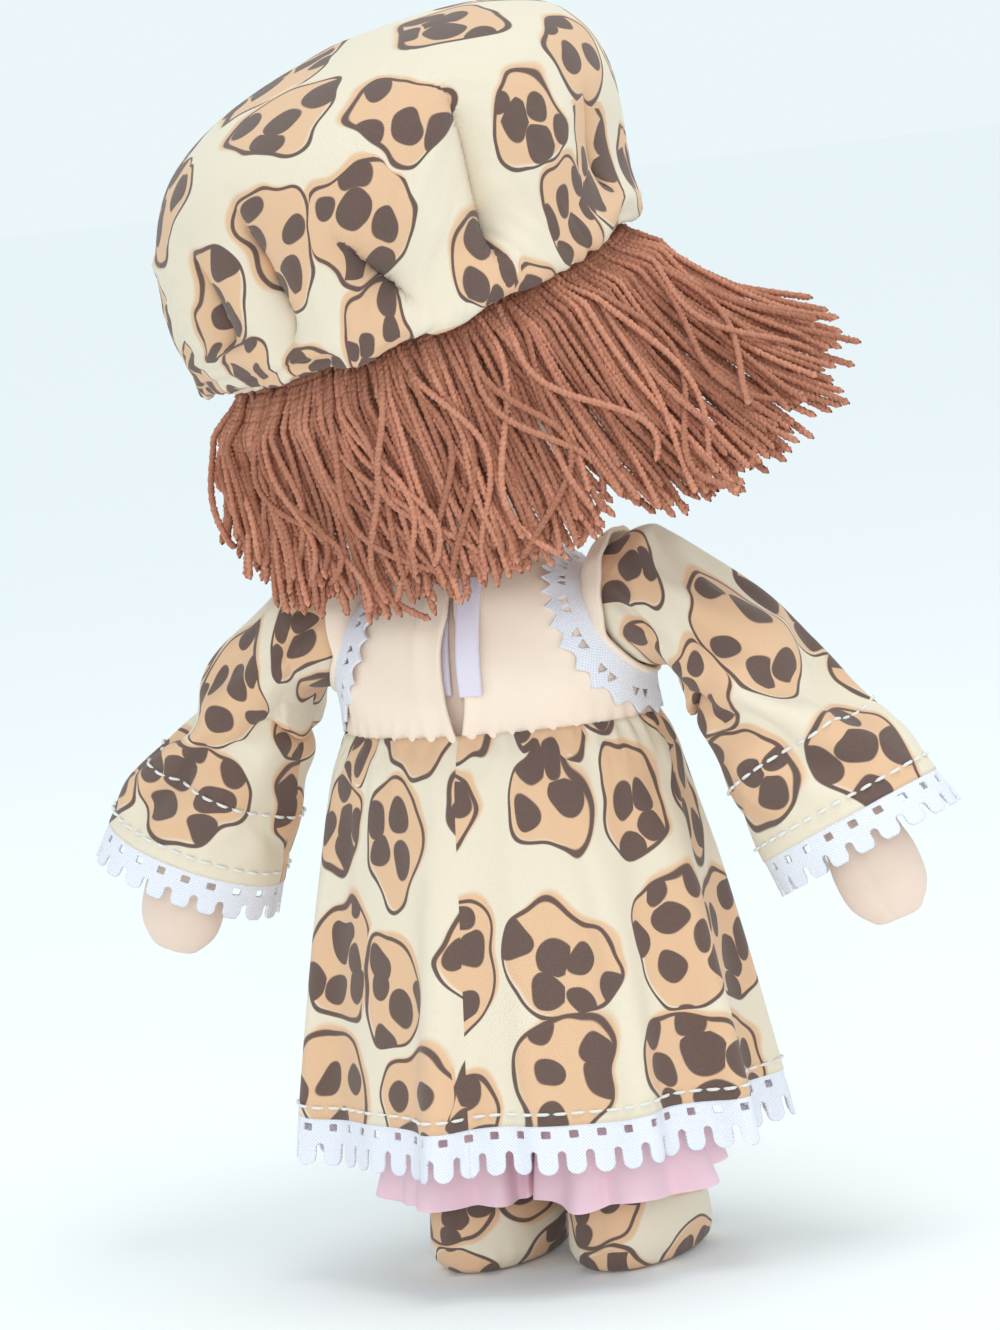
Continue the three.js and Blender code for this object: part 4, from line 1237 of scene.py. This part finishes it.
def skirt_form():
    """The underskirt that the skirt hangs over."""
    share = np.linspace(1.05, 0.06, 16)[:, None]
    grid = skirt_place(share, ring_angles(80), -1.2 - 4.6 * np.minimum(share, 1) ** 0.75)
    return grid.reshape(-1, 3), quads(*grid.shape[:2], True).tolist()


def make_skirt():
    """A straight length of cloth gathered to the waist, its hem trimmed with lace."""
    rows, cols = 34, 240
    share = np.linspace(0, 1, rows)[:, None]
    angle = ring_angles(cols) + TURN / 4
    folds = np.cos(9 * angle + 0.8 * np.sin(2 * angle)) + 0.4 * ripple(42, 4, 6, 16)(angle)
    fine = np.cos(44 * angle + 1.5 * ripple(43, 4, 2, 9)(angle))
    start = skirt_place(share, angle, 3.0 * share**0.75 * folds + 0.75 * np.exp(-share / 0.12) * fine)
    radius = SKIRT_FLAT / TURN
    rest = oval(angle, radius, radius, -share * SKIRT_LENGTH)
    faces = quads(rows, cols, True).tolist()
    points = settle(
        start.reshape(-1, 3), faces, rest.reshape(-1, 3), range(cols), 40, body=skirt_form(),
        gravity=0.05, use_pressure=True, uniform_pressure_force=0.3,
        tension_stiffness=15, compression_stiffness=12, shear_stiffness=8, bending_stiffness=3.0,
    )
    grid = points.reshape(rows, cols, 3)
    cloth = flat_places(rows, cols + 1, SKIRT_FLAT, SKIRT_LENGTH) + SKIRT_CUT
    skirt = cloth_piece("skirt_cloth", grid, cloth, PRINT, None, "print_cotton", "skirt", levels=1)
    lace = hem_lace(grid)
    stitches = dress(join("hem_stitches", hem_stitches(grid)), WHITE_THREAD, None, "lace")
    for piece in (skirt, lace, stitches):
        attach(piece, "torso")
        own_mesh(piece)


def closed_ring(values):
    return np.concatenate([values, values[:1]])


def spread_along(ring, count):
    """Even places along a closed ring, its length, and a reader of values given at its points."""
    far = run(closed_ring(ring))
    places = np.linspace(0, far[-1], count)
    return places, far[-1], lambda values: read_at(places, far, closed_ring(values))


def smooth_ring(values, passes):
    for _ in range(passes):
        values = (np.roll(values, 1, 0) + 2 * values + np.roll(values, -1, 0)) / 4
    return values


def toothed_lace(along, across, width, period, notch):
    """Where lace is whole: small openings near its top and narrow slots between broad round teeth."""
    place = np.abs((along + period / 2) % period - period / 2)
    openings = np.maximum(place - 0.17 * period, np.abs(across - 1.6) - 0.7)
    between = period / 2 - place
    top = width - notch
    slot = 0.15 * period
    arch = np.where(across > top, between - slot, np.hypot(between, across - top) - slot)
    tooth = 0.35 * period
    ends = np.where(across > width - tooth, tooth - np.hypot(place, across - width + tooth), tooth)
    return np.minimum(np.minimum(openings, arch), ends)


def lace_strip(name, ring, down, width, period, notch):
    """Lace sewn under the edge of a ring of cloth."""
    repeats = round(run(closed_ring(ring))[-1] / period)
    places, length, read = spread_along(ring, repeats * 16 + 1)
    along = (places / length * repeats * period)[None]
    across = np.concatenate([[-1.2], np.arange(0, width + 0.01, 0.36)])[:, None]
    grid = read(ring)[None] + across[..., None] * unit(read(down))[None]
    cloth = stacked(along, across)
    keep = toothed_lace(cloth[..., 0], cloth[..., 1], width, period, notch)
    return thicken(cut_sheet(name, grid, cloth, keep), LACE_THICKNESS)


def ring_stitches(ring, outward, count, length, gap):
    """A row of stitches on a ring of points, read at this many places along it."""
    read = spread_along(ring, count)[2]
    return stitch_row(read(ring + outward * STITCH_LIFT), read(outward), length, gap)


def hem_lace(grid):
    down = smooth_ring(grid[-1] - grid[-4], 6)
    lace = lace_strip("hem_lace_trim", grid[-1], down, HEM_LACE_WIDTH, HEM_LACE_PERIOD, HEM_LACE_NOTCH)
    return dress(lace, LACE, None, "lace", "hem_lace")


def hem_stitches(grid):
    """A row of white stitches just above the hem."""
    across = unit(np.roll(grid[-2], -1, 0) - np.roll(grid[-2], 1, 0))
    outward = unit(np.cross(across, grid[-2] - grid[-1]))
    return ring_stitches(grid[-2], outward, 900, 2.6, 0.7)


# Bloomers


def make_bloomers():
    """The seat of the bloomers, and then each leg with its frill."""
    rows, cols = 26, 120
    angle = ring_angles(cols)
    z = np.linspace(BLOOMER_SPLIT, BLOOMER_TOP, rows)[:, None]
    half = TORSO(np.maximum(z, TORSO_KEYS[0][0])) + BLOOMER_ROOM
    wide = np.maximum(half[..., 0], LEG_X + LEG_RADIUS + BLOOMER_ROOM)
    deep = np.maximum(half[..., 1], LEG_RADIUS + BLOOMER_ROOM)
    low = smooth(z, BLOOMER_SPLIT, 66)
    wave = 0.35 * np.cos(30 * angle + ripple(51, 4, 2, 7)(angle)) * np.exp(-(BLOOMER_TOP - z) / 7)
    wave = wave + 0.3 * crumple(52, 5, 10, 30)(angle * 24, z)
    grid = oval(angle, wide * mixed(0.97, 1, low) + wave, deep * mixed(0.9, 1, low) + wave, z)
    cloth = flat_places(rows, cols + 1, *SEAT_CLOTH)
    seat = cloth_piece("bloomers_seat", grid, cloth, PINK, None, "pink_cotton", "bloomers", levels=1)
    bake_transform(seat)
    for name, side in SIDES.items():
        make_bloomer_leg(name, side)
        make_frill(name, side)


def make_bloomer_leg(name, side):
    rows, cols = 30, 84
    angle = ring_angles(cols)
    z = np.linspace(BLOOMER_CUFF, HIP[2] - 1, rows)[:, None]
    puff = 1.6 + 0.8 * np.sin(math.pi * smooth(z, BLOOMER_CUFF, HIP[2] - 4))
    gather = 0.4 * np.cos(20 * angle + side) * np.exp(-(z - BLOOMER_CUFF) / 5)
    wave = gather + 0.35 * crumple(53, 5, 9, 24)(angle * 12, z)
    radius = (LEG_RADIUS + puff + wave) * mixed(1, 0.86, smooth(z, HIP[2] - 12, HIP[2] - 1))
    grid = oval(angle, radius, radius, z) + (side * LEG_X, 0, 0)
    cloth = flat_places(rows, cols + 1, *BLOOMER_LEG_CLOTH)
    leg = cloth_piece(f"bloomers_leg_{name}", grid, cloth, PINK, None, "pink_cotton", "bloomers", levels=1)
    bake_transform(leg)


FRILL_INNER = 4.0  # a frill is pressed flat as it comes this near the middle, so that the two stay apart
FRILL_PRESS = 3.4


def make_frill(name, side):
    """The gathered frill below a bloomer leg, kept clear of the other one."""
    rows, cols = 22, 150
    share = np.linspace(0, 1, rows)[:, None]
    angle = ring_angles(cols)
    folds = np.cos(9 * angle + 1.3 * ripple(61 + side, 4, 1, 4)(angle))
    folds = folds + 0.5 * ripple(63 + side, 3, 5, 14)(angle)
    radius = LEG_RADIUS + 2.0 + 6.2 * np.sqrt(share) + (0.3 + 1.8 * share) * folds
    radius = radius + 0.4 * np.cos(34 * angle) * np.exp(-share / 0.2)
    x = side * LEG_X + radius * np.cos(angle)
    beside = side * x
    pressed = FRILL_INNER - FRILL_PRESS * (1 - np.exp((beside - FRILL_INNER) / FRILL_PRESS))
    x = side * np.where(beside < FRILL_INNER, pressed, beside)
    length = FRILL_LENGTH + FRILL_BACK * smooth(np.sin(angle), -0.6, 0.8)
    z = BLOOMER_CUFF + 0.4 - share * length + 0.9 * share * ripple(65 + side, 4, 2, 6)(angle)
    grid = np.stack([x, radius * np.sin(angle), z], -1)
    middle_length = FRILL_LENGTH + FRILL_BACK / 2
    cloth = flat_places(rows, cols + 1, 150, middle_length)
    frill = cloth_piece(
        f"frill_{name}", grid, cloth, PINK, f"leg_{name}", "pink_cotton", f"bloomer_frill_{name}",
        levels=1, thickness=FRILL_THICKNESS,
    )


# Boots and legs

# Height, then how far the boot has narrowed to the leg, then how far its edge is rounded in
BOOT_KEYS = [
    (0.0, 0.0, 5.5),
    (0.05, 0.0, 4.0),
    (0.5, 0.0, 2.2),
    (1.8, 0.0, 0.8),
    (4.5, 0.0, 0.0),
    (8.0, 0.02, 0.0),
    (11.5, 0.2, 0.0),
    (15.0, 0.55, 0.0),
    (19.0, 0.88, 0.0),
    (22.0, 0.99, 0.0),
    (26.0, 1.0, 0.3),
]


def make_boot(name, side):
    """A stuffed boot with a seam up its back and over its toe, and puckers where it meets its sole."""
    cols = 72
    angle = ring_angles(cols + 1, closed=True)
    keys = np.array(BOOT_KEYS)
    stretch = np.linspace(0, len(keys) - 1, 34)
    level = through(np.column_stack([np.arange(len(keys)), keys]))(stretch)
    z, narrowed, rounding = (level[:, i : i + 1] for i in range(3))
    z = np.maximum(z, 0)
    half_length = mixed(BOOT_HALF_LENGTH, LEG_RADIUS, narrowed) - rounding
    half_width = mixed(BOOT_HALF_WIDTH, LEG_RADIUS, narrowed) - rounding
    heel = mixed(BOOT_HEEL, LEG_RADIUS, narrowed) - rounding
    opposite = (angle + TURN / 2) % TURN
    seams = bell(opposite - 0.75 * TURN, BOOT_SEAM) + bell(opposite - 0.25 * TURN, BOOT_SEAM)
    above_sole = smooth(z, 0.6, 3)
    dent = 0.55 * seams * above_sole + 0.3 * np.cos(26 * angle) * bell(z - 3, 2.0)
    lumps = 0.35 * crumple(71 + side, 6, 9, 24)(angle * 14, z) * above_sole
    lumps[:, -1] = lumps[:, 0]
    out = lumps - dent
    x = side * LEG_X + (half_width + out) * np.cos(angle)
    y = heel - half_length + (half_length + out) * np.sin(angle)
    grid = stacked(x, y, z)
    cloth = stacked(angle * 15 + 40 * side, z * 1.25 + 60)
    under = z[:, 0] < 0.3
    cloth[under] = grid[under][..., :2] + (30 * side, 25)
    stuffed_piece(
        f"boot_stuffed_{name}", grid[:, :-1], cloth, PRINT, f"leg_{name}", f"boot_{name}",
        f"leg_stuffing_{name}", slot="print_cotton", levels=1, flat_start=True,
    )


def make_leg(name, side):
    """A stuffed leg, flat at the top where it is sewn into the torso's seam."""
    rows, cols = 22, 40
    angle = ring_angles(cols + 1, closed=True)
    z = np.linspace(BOOT_HEIGHT, HIP[2] - 2.7, rows)[:, None]
    deep = LEG_RADIUS * mixed(1, 0.1, smooth(z, 42, HIP[2] - 2))
    grid = oval(angle, LEG_RADIUS - 0.4, deep - 0.3, z) + (side * LEG_X, 0, 0)
    cloth = flat_places(rows, cols + 1, *LEG_CLOTH)
    leg = f"leg_{name}"
    stuffed_piece(leg, grid[:, :-1], cloth, SKIN, leg, f"leg_skin_{name}", fill=0.7)


# Arms and sleeves, drawn for the left side about the shoulder joint

ARM_ELBOW = np.array((24.0, 0, -18.0))
ARM_TIP = np.array((40.0, 0, -65.0))
WRIST_SHARE = 0.72
ARM_SEAM = 0.09  # half width of its seams, as an angle
# Share of the arm's length, then half its width and half its depth
ARM_SIZE = through(
    [
        (0, 6.5, 6.5),
        (0.3, 7.5, 7.5),
        (WRIST_SHARE, 6.2, 6.2),
        (0.8, 7.4, 5.9),
        (0.88, 8.6, 5.8),
        (0.95, 7.2, 4.6),
        (0.985, 4.2, 2.6),
    ]
)
THUMB_HALF = (3.1, 4.6, 3.6)
THUMB_SHARE = 0.855
THUMB_OFF = (-0.5, -5.4, 1.0)
THUMB_TURN = 28
SLEEVE_COVER = 0.76
SLEEVE_LEAN = 8
SLEEVE_TOP = 13.3
SLEEVE_MIDDLE = 13.8
CUFF_WIDE = 18.2
CUFF_DEEP = 14.2
SLEEVE_SET_IN = np.array((9.4, 8.2, 6.9, 5.5, 4.2, 2.8, 1.4))  # rings inside the armhole
SLEEVE_SLACK = 1.14
SLEEVE_ROOM = 1.06
SLEEVE_CUT = (33, 20)  # where the sleeves are cut from the printed cloth
CUFF_STITCH_ROWS = (-3, -12)
ELBOW_SHARE = 0.4
ELBOW_REACH = 0.05
ELBOW_DEPTH = 3.2
BACKWARD = np.array((0, 1.0, 0))


def arm_place(share):
    share = np.asarray(share, float)[..., None]
    return 2 * share * (1 - share) * ARM_ELBOW + share**2 * ARM_TIP


def arm_way(share):
    share = np.asarray(share, float)[..., None]
    return unit(2 * (1 - 2 * share) * ARM_ELBOW + 2 * share * ARM_TIP)


def arm_rings(share, across, deep, way, angle):
    """Rings round the arm: across is the radius in the plane of the bend, deep from front to back."""
    sideways = np.cross(BACKWARD, way)[:, None]
    beside = across[..., None] * np.cos(angle)[..., None] * sideways
    behind = deep[..., None] * np.sin(angle)[..., None] * BACKWARD
    return arm_place(share)[:, None] + beside + behind


def mirrored(points, side):
    return (points + SHOULDER) * (side, 1, 1)


def make_arm(name, side):
    """A stuffed arm with a seam at its front and back, drawn in at the wrist to a mitten hand."""
    rows, cols = 44, 48
    angle = ring_angles(cols + 1, closed=True)
    share = np.concatenate([np.linspace(0.0, WRIST_SHARE, 22), np.linspace(0.74, 0.985, 22)])
    size = ARM_SIZE(share)
    seam = 0.35 * (bell(angle - TURN / 4, ARM_SEAM) + bell(angle - 0.75 * TURN, ARM_SEAM))
    pucker = 0.25 * np.cos(14 * angle) * bell(share[:, None] - WRIST_SHARE, 0.03)
    out = -seam - pucker
    grid = arm_rings(share, size[:, :1] + out, size[:, 1:] + out, arm_way(share), angle)
    cloth = flat_places(rows, cols + 1, *ARM_CLOTH)
    arm = f"arm_{name}"
    nodes = (f"arm_skin_{name}", f"arm_stuffing_{name}")
    stuffed_piece(arm, mirrored(grid[:, :-1], side), cloth, SKIN, arm, *nodes, levels=1)


def make_thumb(name, side):
    rows, cols = 16, 48
    up = np.linspace(-0.46, 0.46, rows)[:, None] * math.pi
    lobe = ball(up, ring_angles(cols + 1, closed=True)) * THUMB_HALF @ turned(0, THUMB_TURN).T
    grid = mirrored(lobe + arm_place(np.array(THUMB_SHARE)) + THUMB_OFF, side)
    cloth = flat_places(rows, cols + 1, *THUMB_CLOTH)
    stuffed_piece(f"thumb_{name}", grid[:, :-1], cloth, SKIN, f"arm_{name}")


def sleeve_shape(share):
    """Direction along the sleeve and its two radii, at shares of its length."""
    lean = math.radians(SLEEVE_LEAN)
    square = np.array((math.cos(lean), 0, math.sin(lean)))
    way = unit(mixed(square, arm_way(SLEEVE_COVER * share), smooth(share, 0, 0.5)[:, None]))
    top = mixed(SLEEVE_TOP, SLEEVE_MIDDLE, smooth(share, 0, 0.5))
    wider = smooth(share, 0.45, 1)
    return way, mixed(top, CUFF_WIDE, wider)[:, None], mixed(top, CUFF_DEEP, wider)[:, None]


def sleeve_head(way, angle):
    """Rings of the sleeve's round head, which sits inside the armhole."""
    radius = np.sqrt(SLEEVE_TOP**2 - SLEEVE_SET_IN**2)[:, None, None]
    sideways = np.cross(BACKWARD, way)
    outward = np.cos(angle)[..., None] * sideways + np.sin(angle)[..., None] * BACKWARD
    return -SLEEVE_SET_IN[:, None, None] * way + radius * outward


def make_sleeve(name, side):
    """A sleeve set round in its armhole, creased at the elbow, its cuff trimmed with lace."""
    rows, cols = 44, 76
    angle = ring_angles(cols)
    share = np.linspace(0, 1, rows)
    way, across, deep = sleeve_shape(share)
    elbow = bell(share - ELBOW_SHARE, ELBOW_REACH)[:, None] * smooth(np.cos(angle), -0.3, 0.8)
    crease = 0.8 * crumple(81, 6, 9, 22)(angle * 14, share[:, None] * 60)
    crease = crease * np.sin(math.pi * share)[:, None] - ELBOW_DEPTH * elbow
    body = arm_rings(SLEEVE_COVER * share, across + crease, deep + crease, way, angle)
    head = sleeve_head(way[0], angle)
    start = np.concatenate([head, body])
    rows = len(start)
    far = run(start.mean(1)) * SLEEVE_SLACK
    girth = np.linalg.norm(np.diff(start, axis=1), axis=2).sum(1) / TURN * SLEEVE_ROOM
    rest = oval(angle, girth[:, None], girth[:, None], -far[:, None])
    faces = quads(rows, cols, True).tolist()
    pinned = [*range(2 * cols), *range((rows - 1) * cols, rows * cols)]
    pinned += (np.flatnonzero(elbow > 0.9) + len(head) * cols).tolist()
    points = settle(
        start.reshape(-1, 3), faces, rest.reshape(-1, 3), pinned, 36, gravity=0.1, use_pressure=True,
        uniform_pressure_force=0.3, tension_stiffness=12, compression_stiffness=10, shear_stiffness=5,
        bending_stiffness=0.5,
    )
    grid = mirrored(points.reshape(rows, cols, 3), side)
    cloth = flat_places(rows, cols + 1, 100, far[-1]) + (side * SLEEVE_CUT[0], SLEEVE_CUT[1])
    arm = f"arm_{name}"
    sleeve = cloth_piece(
        f"sleeve_cloth_{name}", grid, cloth, PRINT, arm, "print_cotton", f"sleeve_{name}", levels=1
    )
    trims = cuff_trims(name, arm, grid)


def cuff_trims(name, arm, grid):
    """Lace at the edge of a cuff, and two rows of white stitches round it."""
    down = smooth_ring(grid[-1] - grid[-3], 4)
    size = (CUFF_LACE_WIDTH, CUFF_LACE_PERIOD, CUFF_LACE_NOTCH)
    lace = lace_strip(f"cuff_lace_trim_{name}", grid[-1], down, *size)
    dress(lace, LACE, arm, "lace", f"cuff_lace_{name}")
    parts = []
    for row in CUFF_STITCH_ROWS:
        here = grid[row]
        parts += ring_stitches(here, unit(here - here.mean(0)), 500, 2.4, 0.8)
    return [lace, dress(join(f"cuff_stitches_{name}", parts), WHITE_THREAD, arm, "lace")]


# Floor, light and camera

SKY = srgb(240, 252, 255)
SKY_STRENGTH = 0.95
LIGHT_DISTANCE = 1200


def aim(obj, azimuth, elevation, distance, target, roll=0.0):
    """Places obj so that it looks at target from an azimuth and an elevation in degrees."""
    a, e = math.radians(azimuth), math.radians(elevation)
    back = Vector((math.sin(a) * math.cos(e), -math.cos(a) * math.cos(e), math.sin(e)))
    facing = back.to_track_quat("Z", "Y").to_matrix() @ Matrix.Rotation(math.radians(roll), 3, "Z")
    obj.matrix_world = Matrix.Translation(Vector(target) + distance * MM * back) @ facing.to_4x4()


def make_stage():
    """A pale paper floor under an even sky."""
    shader = Shader("floor_paper", roughness=0.8)
    place = shader.add("ShaderNodeTexCoord").outputs["Object"]
    colour = shader.mix(shader.noise(place, 30.0), srgb(251, 252, 252), srgb(253, 253, 254))
    bpy.ops.mesh.primitive_plane_add(size=300)
    floor = bpy.context.object
    floor.name = "floor"
    shader.principled.inputs["Specular IOR Level"].default_value = 0.0
    floor.data.materials.append(shader.finish(colour))
    world = bpy.data.worlds.new("studio")
    world.use_nodes = True
    world.node_tree.nodes["Background"].inputs["Color"].default_value = SKY
    world.node_tree.nodes["Background"].inputs["Strength"].default_value = SKY_STRENGTH
    scene = bpy.context.scene
    scene.world = world
    scene.view_settings.view_transform = "Standard"
    scene.view_settings.look = "None"


def add_light(name, kind, azimuth, elevation, power, size, target_z=130):
    """A soft light aimed at a height on the doll's axis."""
    data = bpy.data.lights.new(name, kind)
    data.energy = power
    data.shadow_soft_size = size
    light = placed(name, data)
    light.visible_camera = False
    aim(light, azimuth, elevation, LIGHT_DISTANCE, in_frame((0, 0, target_z)))
    return data


def make_lights():
    """A high key light, a low fill and a soft low spot that lifts the boots and the floor round them."""
    add_light("key", "POINT", azimuth=235, elevation=70, power=12.0, size=0.25)
    add_light("low", "POINT", azimuth=205, elevation=10, power=4.0, size=0.2)
    boots = add_light("boots", "SPOT", azimuth=205, elevation=14, power=30.0, size=0.2, target_z=5)
    boots.spot_size = math.radians(12)
    boots.spot_blend = 1.0


def make_camera():
    data = bpy.data.cameras.new("camera")
    data.lens = CAMERA_LENS
    data.clip_start = 0.05
    data.clip_end = 50
    camera = placed("camera", data)
    aim(camera, CAMERA_AZIMUTH, CAMERA_ELEVATION, CAMERA_DISTANCE, in_frame(CAMERA_TARGET), CAMERA_ROLL)
    bpy.context.scene.camera = camera


make_stage()
make_lights()
make_camera()

make_torso()
make_neck()
make_head()
make_face()
make_hank("left", -20, 50, 91)
make_hank("back", 50, 130, 92)
make_hank("right", 130, 200, 93)
make_hank("fringe", 200, 340, 94, fringe=True)
make_crown()
make_bodice()
make_skirt()
make_bloomers()
for side_name, side_sign in SIDES.items():
    for make in (make_boot, make_leg, make_arm, make_thumb, make_sleeve):
        make(side_name, side_sign)

inner = {"wig_tape": WIG_TAPE, "hip_seam": HIDDEN_SKIN}
inner.update({f"shoulder_tab_{side_name}": HIDDEN_SKIN for side_name in SIDES})
for node, material in inner.items():
    frame["nodes"][node].data.materials.clear()
    frame["nodes"][node].data.materials.append(material)
